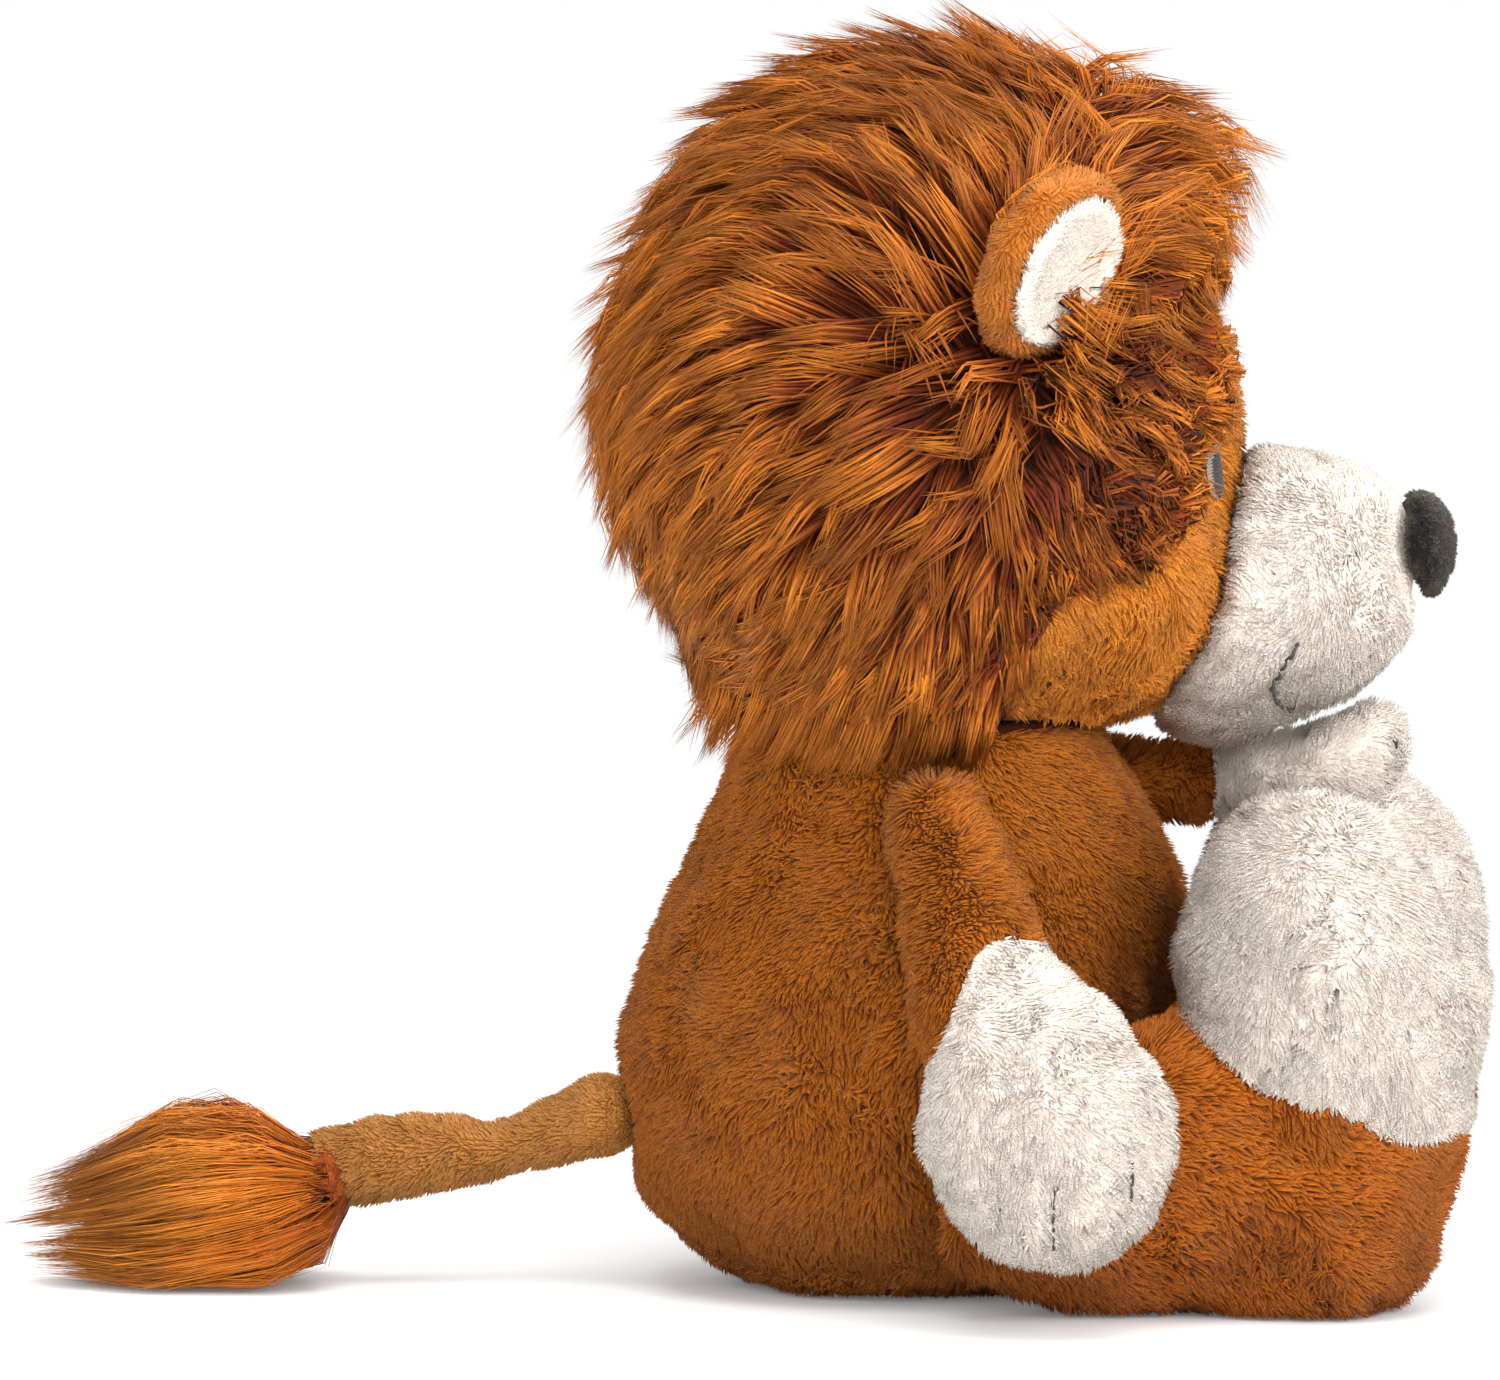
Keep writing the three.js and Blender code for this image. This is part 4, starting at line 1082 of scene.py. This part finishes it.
        # Combing, and the joining into locks
        todo = np.flatnonzero(keep)
        paths = np.tile(centres[:, None], (1, len(RISE), 1))
        for _ in range(TRIES):
            risen = np.minimum(heights * rise, sizes * 0.85)
            of_hairs = (values[todo] for values in (centres, sizes, heights, risen, turn, stray))
            paths[todo], ended = combed(shape, *of_hairs)
            tips = paths[todo, -1]
            ended |= brow[todo] & (tips[:, 2] > BROW) & (np.abs(tips[:, 1]) > 16 * MM)
            ended |= shape.beside(tips, 7 * MM) & (near(tips, eyes) > 8.5 * MM)
            low = hangs(centres[todo]) & (tips[:, 2] < EDGE)
            ended = np.where(low, tips[:, 2] > LOWEST_TIP, ended)
            todo = todo[~ended]
            sizes[todo] *= 0.76
        pull = np.where(loose, 0.25, mane.gather)
        paths = lock_hairs(paths, heads, member, pull, rng, 0.45 * MM)
        swing = waves(centres, len(RISE), 2.1, 7 * MM, 33)
        paths = paths + mane.curl * swing * fringe[:, None, None]
        spread = np.clip(lock[:, 1] + own[:, 0], 0, 2.5) * 1.1 * MM
        paths[:, -1] += head_normal(paths[:, -1]) * spread[:, None]
        side = np.sign(y)[:, None]
        lap = fade(-near_either(centres, LAP), -22 * MM, -10 * MM)[:, None]
        for ring, push in enumerate(LAP_PUSHES):
            paths[:, ring] += lap * np.where(side < 0, (1, -1, 1), 1) * push * MM
        paths = out_of_ears(paths, 1.1)
        # Tones: lighter on the forelock and near the face; painted light far from the ears; painted
        # shade in the fringe
        lock_tone = rng.uniform(-1, 1, len(heads))[member]
        # The forelock is lighter partly as painted light and partly as a lighter fibre; the loose
        # undercoat is a little darker
        tone = 0.4 + 0.2 * lock_tone + 0.1 * own[:, 1] + 0.4 * forelock - 0.1 * loose
        # The fringe under the ears is darker: painted shade between its locks
        tone += 0.4 * fade(x, 40 * MM, 54 * MM) - 0.12 * fringe + 0.3 * lap[:, 0]
        # Painted light: the back and top of the mane, far from the ears, are lighter as if the
        # lamps shone through the hair at its edge
        tone += 0.4 * fade(np.linalg.norm((centres - WHORL)[:, ::2], axis=1), 30 * MM, 90 * MM)
        widths = WIDTHS * rng.uniform(0.75, 1.2, (len(centres), 1))
        grows = ~base
        for local in (in_ear(centres, side) for side in (-1, 1)):
            grows &= (np.linalg.norm(local, axis=1) >= 1) | (local[:, 2] >= 0.3)
        tones = shades((0.5, 0.42, 0.36), (0.86, 0.82, 0.78))
        finish = hair_finish("mane fur", mane.root, mane.middle, 0.45, mane.tip, tones)
        back, high, right = x < BACK_SEAM, z > TOP_SEAM, y < 0
        panels = {
            "mane_back_right": back & right & ~high,
            "mane_back_left": back & ~right & ~high,
            "mane_side_right": ~back & right & ~high,
            "mane_side_left": ~back & ~right & ~high,
            "mane_top_right": high & right,
            "mane_top_left": high & ~right,
        }
        backing = settings_of("plush").backing
        for name, part in panels.items():
            part = keep & part
            fibres = Fibres(skin, part, part & grows, len(RISE), backing)
            fibres.place(paths, widths)
            fibres.colour(tone)
            new_piece(name, fibres.mesh, finish, "mane")


class LION_OT_muzzle(Maker, bpy.types.Operator):
    """Cover the muzzle in cream plush and the nose in black plush"""

    bl_idname = "lion.muzzle"
    bl_label = "Muzzle and nose"

    def execute(self, context):
        plush = settings_of("plush")
        skin = Skin(["muzzle_cover", "muzzle_filling"], 2.3 * MM, 3.5, plush.spacing)
        thread = settings_of("thread")
        mouth = centre_line("mouth_stitch", (0, 1, 0))
        skin.draw_in([mouth], 0.8 * MM, 5 * MM)
        cheeks = fade(-skin.points[:, 0], -76 * MM, -62 * MM)  # fuller towards the face
        skin.shift(skin.normals * (2.2 * MM * cheeks)[:, None])
        inside = within(skin.centres, HEAD_CENTRE, HEAD_RADII - 3 * MM)
        low, high = corners("nose")
        nose_mid, nose_half = (low + high) / 2, (high - low) / 2
        under = within(skin.centres, nose_mid, nose_half + 0.5 * MM)
        side = mouth[np.abs(mouth[:, 1]) > 14 * MM]
        pile = plush.fine_pile * (0.45 + 0.55 * fade(near(skin.centres, side), 0.6 * MM, 2.4 * MM))
        beside = np.linalg.norm((skin.centres - nose_mid) / (nose_half + 5 * MM), axis=1)
        pile = pile * (0.55 + 0.45 * fade(beside, 0.85, 1.05))
        comb = unit(np.array([-0.75, 0, -0.35]))
        cream = plush_finish("cream plush", plush.white_root, plush.cream, 0.05)
        seams = {"bald": inside | under, "parted": False}
        made, node = "muzzle_plush", "muzzle_cover"
        plush_piece(made, node, "cream_plush", cream, skin, pile, comb, 41, **seams)
        finish = thread_finish("mouth thread", thread.black)
        shown = fade(np.abs(mouth[:, 1]), 11 * MM, 17 * MM)  # the middle is lost in the pile
        run = stitches(mouth, skin.tree(), thread, (0.5 + 1.6 * shown) * MM, 45)
        radius = thread.radius * 1.3
        thread_piece("mouth_thread", "mouth_stitch", finish, radius, [run])
        nose = Skin(["nose"], 0.9 * MM, 2.2, plush.spacing * 0.72)
        pile = np.full(len(nose.faces), 1.5 * MM)
        black = plush_finish("black plush", plush.black_root, plush.black, 0.3, 0.2)
        plush_piece("nose_plush", "nose", "nose_plush", black, nose, pile, (-0.4, 0, -0.8), 43)
        return {"FINISHED"}


class LION_OT_ears(Maker, bpy.types.Operator):
    """Cover the ears' backs in golden plush and line them in white"""

    bl_idname = "lion.ears"
    bl_label = "Ears"

    def execute(self, context):
        plush = settings_of("plush")
        back = plush_finish("ear plush", plush.gold_root, plush.ear, 0.34)
        lining = plush_finish("ear lining", plush.white_root, plush.white, 0.05)
        for side, name in ((-1, "right"), (1, "left")):
            _, up, out = ear_axes(side)
            node = f"ear_back_{name}"
            skin = Skin([node], 0.7 * MM, 1.6, plush.spacing * 0.85, fuller=0.1, rounds=3)
            pile = np.full(len(skin.faces), plush.fine_pile * 0.8)
            bald = within(skin.centres, HEAD_CENTRE, HEAD_RADII + 1 * MM)
            made = f"ear_plush_{name}"
            plush_piece(made, node, "ear_plush", back, skin, pile, -up, 51 + side, bald=bald)
            node = f"ear_lining_{name}"
            skin = Skin([node], 0.2 * MM, 1.0, plush.spacing * 0.8, fuller=0.0, rounds=2)
            pile = np.full(len(skin.faces), plush.fine_pile * 0.75)
            bald = (skin.face_normals @ out) < -0.2
            made = f"ear_lining_plush_{name}"
            plush_piece(made, node, "white_plush", lining, skin, pile, up, 55 + side, bald=bald)
        return {"FINISHED"}


def limb(skin, covers, finishes, combs, stitched, seed):
    """A limb's brown cover, its white end and the threads that part the toes."""
    plush, thread = settings_of("plush"), settings_of("thread")
    lines = [centre_line(node, (0, 0, 1)) for node in stitched]
    skin.draw_in(lines, 1.5 * MM, 6 * MM)
    ahead = skin.border(skin.nearest(covers)[1])
    part = (ahead > 0).astype(int)
    pile = plush.pile * np.where(part == 0, plush.brown_pile, 1.0)
    pile *= 0.62 + 0.38 * fade(np.abs(ahead), 0.0, 4 * MM)  # shorter beside the seam
    pile *= 0.4 + 0.6 * fade(near(skin.centres, np.concatenate(lines)), 0.5 * MM, 2.0 * MM)
    slots = ("brown_plush", "white_plush")
    for place, (cover, slot, finish, comb) in enumerate(zip(covers, slots, finishes, combs)):
        name = cover.replace("_cover", "").replace("_", "_plush_")
        seams = {"keep": part == place, "parted": place == 0}
        plush_piece(name, cover, slot, finish, skin, pile, comb, seed + place, **seams)
    tree = skin.tree()
    finish = thread_finish("toe thread", thread.black)
    for k, (node, line) in enumerate(zip(stitched, lines)):
        run = stitches(line, tree, thread, 1.7 * MM, seed + 7 + k)
        name = node.replace("stitch", "thread")
        thread_piece(name, node, finish, thread.radius, [run])


class LION_OT_arms(Maker, bpy.types.Operator):
    """Cover the sleeves in brown plush and the paws in white"""

    bl_idname = "lion.arms"
    bl_label = "Arms and paws"

    def execute(self, context):
        plush = settings_of("plush")
        brown = plush_finish("sleeve plush", plush.brown_root, plush.brown, 0.44)
        white = plush_finish("paw plush", plush.white_root, plush.white, 0.05)
        combs = {"right": (0.1, 0, -1), "left": (1, -0.4, -0.3)}
        for name, seed in (("right", 61), ("left", 67)):
            covers = [f"sleeve_{name}", f"paw_{name}"]
            skin = Skin([*covers, f"arm_filling_{name}"], 2.5 * MM, 3.5, plush.spacing)
            skin.lump(0.5 * MM, 18 * MM, seed)
            stitched = [f"paw_stitch_front_{name}", f"paw_stitch_back_{name}"]
            limb(skin, covers, (brown, white), (combs[name], combs[name]), stitched, seed)
        return {"FINISHED"}


class LION_OT_legs(Maker, bpy.types.Operator):
    """Cover the legs in brown plush and the feet in white"""

    bl_idname = "lion.legs"
    bl_label = "Legs and feet"

    def execute(self, context):
        plush = settings_of("plush")
        brown = plush_finish("leg plush", plush.brown_root, plush.leg, 0.36)
        white = plush_finish("foot plush", plush.white_root, plush.white, 0.05)
        for name, seed in (("right", 81), ("left", 97)):
            covers = [f"leg_cover_{name}", f"foot_cover_{name}"]
            skin = Skin([*covers, f"leg_filling_{name}"], 2.7 * MM, 4.5, plush.spacing)
            skin.lump(0.8 * MM, 24 * MM, seed)
            stitched = [f"foot_stitch_inner_{name}", f"foot_stitch_outer_{name}"]
            combs = ((0.7, 0, -0.5), (0, 0, -1))
            limb(skin, covers, (brown, white), combs, stitched, seed)
        return {"FINISHED"}


class LION_OT_tail(Maker, bpy.types.Operator):
    """Cover the tail in short plush and end it in a tuft of long fur"""

    bl_idname = "lion.tail"
    bl_label = "Tail and tuft"

    def execute(self, context):
        plush, mane = settings_of("plush"), settings_of("mane")
        skin = Skin(["tail_cover", "tail_filling"], 1.6 * MM, 2.6, plush.spacing * 0.8)
        x = skin.centres[:, 0]
        root = fade(x, -70 * MM, -62 * MM)  # shorter where the tail is sewn on
        pile = plush.fine_pile * (0.75 - 0.35 * root)
        hidden = (x > -53 * MM) | (x < -117 * MM)  # in the torso and in the tuft
        tail = plush_finish("tail plush", plush.tail_root, plush.tail, 0.3)
        comb = (-1, 0, -0.2)
        made, node = "tail_plush", "tail_cover"
        plush_piece(made, node, "tail_plush", tail, skin, pile, comb, 81, bald=hidden)
        self.tuft(mane, plush)
        return {"FINISHED"}

    def tuft(self, mane, plush):
        """Long fur round the tail's end, spread out to the form of the CAD tuft."""
        low, high = corners("tail_tuft")
        core = np.array([high[0] - 3 * MM, 0, 20.5 * MM])  # the rounded end that the hairs root in
        halves = np.array([5, 9.5, 9.5]) * MM
        rest = 12 * MM  # height of the tuft's middle where it lies on the floor
        bm = bmesh.new()
        bmesh.ops.create_icosphere(bm, subdivisions=5 if SPACING > 1 else 6, radius=1)
        matrix = Matrix.Translation(core) @ Matrix.Diagonal((*halves, 1))
        bmesh.ops.transform(bm, matrix=matrix, verts=bm.verts)
        skin = Skin.of(mesh_from(bm, "tuft core"))
        rng = np.random.default_rng(83)
        centres = skin.centres
        offset = (centres - core) / halves
        grows = (rng.uniform(size=len(centres)) < 0.3) & (offset[:, 0] < 0.9)
        outer = np.where(offset[:, 0] > 0, 1, np.sqrt(np.clip(1 - offset[:, 0] ** 2, 0, 1)))
        outer = outer * (0.5 + 0.5 * rng.uniform(size=len(centres)) ** 0.5)
        heads, member = clumps(centres, rng, 0.014)
        lock = rng.normal(size=(len(heads), 3))[member]
        reach = core[0] - low[0] + 3 * MM
        sizes = 0.82 + 0.1 * lock[:, 0] + 0.07 * rng.normal(size=len(centres))
        sizes = reach * np.clip(sizes, 0.45, 1.0)
        sizes = sizes * (1 - 0.25 * outer * rng.uniform(size=len(centres)))
        shape = tree_of(["tail_tuft"])
        way = offset * (0, 1, 1) + 0.1 * lock * (0, 1, 1)
        way = unit(way + 0.05 * rng.normal(size=way.shape) * (0, 1, 1))
        start = np.linalg.norm((centres - core)[:, 1:], axis=1)
        path = []
        marks = (0.1, 0.36, 0.68, 1.0)  # how far along a hair each of its rings is
        for t in marks:
            x = centres[:, 0] - sizes * t
            axis = np.column_stack([x, 0 * x, 0 * x + core[2] + (rest - core[2]) * t])
            reached = self.reach_of(shape, axis, way, low[0] + 1.5 * MM, high[0] - 2 * MM)
            below = np.minimum((axis[:, 2] - 0.5 * MM) / np.maximum(-way[:, 2], 0.3), 24 * MM)
            reached = np.maximum(reached, (4 + 8 * t) * MM)
            lying = (way[:, 2] < -0.35) & (x > low[0] + 14 * MM)  # on the floor
            reached = np.where(lying, np.maximum(reached, below), reached)
            spread = start + (outer * reached - start) * fade(t, -0.05, 0.2)
            path.append(axis + way * spread[:, None])
        pull = np.clip(0.6 * mane.gather + 0.15 * rng.normal(size=len(centres)), 0, 0.9)
        paths = lock_hairs(np.stack(path, 1), heads, member, pull, rng, 0.35 * MM)
        paths = paths + 1.2 * MM * waves(centres, len(marks), 1.1, 9 * MM, 85)
        floor = (0.5 + 1.2 * rng.uniform(size=(len(centres), 1))) * MM
        paths[..., 2] = np.maximum(paths[..., 2], floor)
        widths = np.tile((1.0, 0.95, 0.7, 0.0), (len(centres), 1))
        fibres = Fibres(skin, np.ones(len(centres), bool), grows, len(marks), plush.backing)
        fibres.place(paths, widths)
        lock_tone = rng.uniform(-1, 1, len(heads))[member]
        fibres.colour(0.5 + 0.2 * lock_tone + 0.12 * rng.normal(size=len(centres)))
        tones = shades((0.55, 0.48, 0.42), (0.88, 0.86, 0.84))
        finish = hair_finish("tuft fur", mane.middle, plush.leg, 0.5, mane.tuft_tip, tones)
        new_piece("tail_tuft_fur", fibres.mesh, finish, "tail_tuft")

    def reach_of(self, shape, axis, ways, first, last):
        """How far the tuft's form goes out from its axis at every point."""
        far, least = 60, 3  # millimetres
        found = np.zeros(len(axis))
        for k, (spot, way) in enumerate(zip(axis, ways)):
            spot = Vector((min(max(spot[0], first), last), spot[1], spot[2]))
            hit = shape.ray_cast(spot + Vector(way) * far * MM, Vector(-way), far * MM)
            found[k] = far * MM - hit[3] if hit[0] is not None else least * MM
        return found


# Inside


class LION_OT_stuffing(Maker, bpy.types.Operator):
    """Fill the covers with fibre, and the seat with a bag of pellets"""

    bl_idname = "lion.stuffing"
    bl_label = "Filling"

    def execute(self, context):
        stuffing = settings_of("stuffing")
        fibre = Finish("fibre filling")
        cloud = fibre.noise(90, 5)
        tint = fibre.mix(cloud, tuple(stuffing.fibre), (0.62, 0.6, 0.56, 1))
        relief = fibre.bump(fibre.noise(500, 6), 0.8, 0.001)
        fluff = fibre.surface(Base_Color=tint, Roughness=0.95, Sheen_Weight=0.4, Normal=relief)
        cloth = Finish("bag cloth")
        checks = {"Vector": cloth.place(), "Scale": 1800.0}
        weave = cloth.add("ShaderNodeTexChecker", inputs=checks, output=1)
        shade = tuple(level * 0.7 for level in stuffing.bag[:3]) + (1,)
        tint = cloth.mix(weave, tuple(stuffing.bag), shade)
        bag = cloth.surface(Base_Color=tint, Roughness=0.9, Normal=cloth.bump(weave, 0.4, 0.0003))
        for node in BODY_OF:
            soft = "filling" in node
            if not soft and node != "seat_pellet_bag":
                continue
            room = (2.6 if "arm" in node else 1.4) if soft else 0.3  # left free under the cover
            mesh = finished(
                merged([node]),
                ("REMESH", {"mode": "VOXEL", "voxel_size": (3.0 if soft else 1.2) * MM}),
                ("SMOOTH", {"factor": 0.5, "iterations": 4}),
                ("DISPLACE", {"strength": -room * MM, "mid_level": 0}),
            )
            points = points_of(mesh)
            lumps = drift(points, 14 * MM if soft else stuffing.pellet, 5)[:, :1]
            lumps *= (0.5 if soft else 0.25) * MM
            set_points(mesh, points + normals_of(mesh) * lumps)
            name = node.replace("filling", "fibre") if soft else "seat_bag"
            finish, slot = (fluff, "filling") if soft else (bag, "bag_cloth")
            new_piece(name, mesh, finish, node)
        return {"FINISHED"}


# Stage


class LION_OT_stage(Maker, bpy.types.Operator):
    """Set the floor, the lamps and the camera"""

    bl_idname = "lion.stage"
    bl_label = "Stage"

    def execute(self, context):
        stage = settings_of("stage")
        bm = bmesh.new()
        bmesh.ops.create_grid(bm, x_segments=1, y_segments=1, size=40)
        floor = add_object("floor", mesh_from(bm, "floor"))
        floor.data.materials.append(self.floor_finish(tuple(stage.floor)))
        self.lamps(context, stage)
        self.camera(context, stage)
        return {"FINISHED"}

    def floor_finish(self, tint):
        """A pale floor that fades to the white of the background away from the lion."""
        finish = Finish("floor")
        ahead, side = finish.split(finish.place())
        reach = ((ahead + 0.02) * (ahead + 0.02) * 0.7 + side * side) ** 0.5
        smooth = {"interpolation_type": "SMOOTHSTEP"}
        start, end = 0.16, 0.42  # metres from the lion over which the floor fades
        far = finish.add("ShaderNodeMapRange", smooth, {0: reach, 1: start, 2: end})
        matte = finish.add("ShaderNodeBsdfDiffuse", inputs={"Color": tint})
        glow = finish.add("ShaderNodeEmission", inputs={"Color": (1, 1, 1, 1), "Strength": 1.0})
        near_glow = (0.1 + 0.9 * far) * finish.seen()
        mixed = finish.add("ShaderNodeMixShader", inputs={0: near_glow, 1: matte, 2: glow})
        finish.add("ShaderNodeOutputMaterial", inputs={"Surface": mixed})
        return finish.material

    def lamps(self, context, stage):
        """Large soft lamps and an even light all round."""
        places = {
            "lamp_above": ((0.1, -0.35, 1.5), 1.3, stage.key),
            "lamp_left": ((-1.3, -1.2, 0.7), 1.2, stage.fill),
            "lamp_right": ((1.3, -1.1, 0.7), 1.2, 2.6 * stage.fill),
            "lamp_behind": ((0.2, 1.5, 0.9), 1.2, stage.fill),
            "lamp_front": ((0.1, -2.2, 0.9), 1.5, stage.front),
        }
        target = Vector((0.0, 0.0, 0.12))
        for name, (place, size, power) in places.items():
            lamp = bpy.data.lights.new(name, "AREA")
            lamp.size = size
            lamp.energy = power
            holder = add_object(name, lamp)
            holder.location = place
            holder.rotation_euler = (target - Vector(place)).to_track_quat("-Z", "Y").to_euler()
        world = context.scene.world or bpy.data.worlds.new("air")
        context.scene.world = world
        world.use_nodes = True
        air = Finish("air", world.node_tree)
        strength = stage.air + air.seen() * (1 - stage.air)
        inputs = {"Color": (1, 1, 1, 1), "Strength": strength}
        light = air.add("ShaderNodeBackground", inputs=inputs)
        air.add("ShaderNodeOutputWorld", inputs={"Surface": light})

    def camera(self, context, stage):
        """A long lens, level with the lion's side."""
        lens = bpy.data.cameras.new("camera")
        lens.sensor_width = 36
        pixels_per_metre, picture = 5000, 1500
        lens.lens = lens.sensor_width * stage.distance * pixels_per_metre / picture
        lens.clip_end = 100
        camera = add_object("camera", lens)
        target = Vector((-0.030, 0, 0.1195))
        back = Vector((0, -math.cos(stage.elevation), math.sin(stage.elevation)))
        camera.location = target + back * stage.distance
        camera.rotation_euler = (-back).to_track_quat("-Z", "Y").to_euler()
        context.scene.camera = camera
        context.scene.view_settings.view_transform = "Standard"


class LION_PT_panel(bpy.types.Panel):
    """The lion's parts, each with its button"""

    bl_label = "Plush lion"
    bl_idname = "LION_PT_panel"
    bl_space_type = "VIEW_3D"
    bl_region_type = "UI"
    bl_category = "Plush lion"

    def draw(self, context):
        for operator in OPERATORS:
            self.layout.operator(operator.bl_idname, text=operator.bl_label)
        for name, group in GROUPS.items():
            box = self.layout.box()
            box.label(text=group.__doc__)
            for key in group.__annotations__:
                box.prop(settings_of(name), key)


GROUPS = {
    "plush": PlushSettings,
    "mane": ManeSettings,
    "thread": ThreadSettings,
    "stuffing": StuffingSettings,
    "stage": StageSettings,
}
OPERATORS = (
    LION_OT_torso,
    LION_OT_face,
    LION_OT_muzzle,
    LION_OT_ears,
    LION_OT_arms,
    LION_OT_legs,
    LION_OT_tail,
    LION_OT_stuffing,
    LION_OT_stage,
)


def register():
    for cls in (*GROUPS.values(), *OPERATORS, LION_PT_panel):
        bpy.utils.register_class(cls)
    for name, group in GROUPS.items():
        setattr(bpy.types.Scene, "plush_lion_" + name, bpy.props.PointerProperty(type=group))


def unregister():
    for name in GROUPS:
        delattr(bpy.types.Scene, "plush_lion_" + name)
    for cls in reversed((*GROUPS.values(), *OPERATORS, LION_PT_panel)):
        bpy.utils.unregister_class(cls)


def main():
    """Makes every piece in turn."""
    register()
    for operator in OPERATORS:
        group, name = operator.bl_idname.split(".")
        getattr(getattr(bpy.ops, group), name)()


if __name__ == "__main__":
    main()
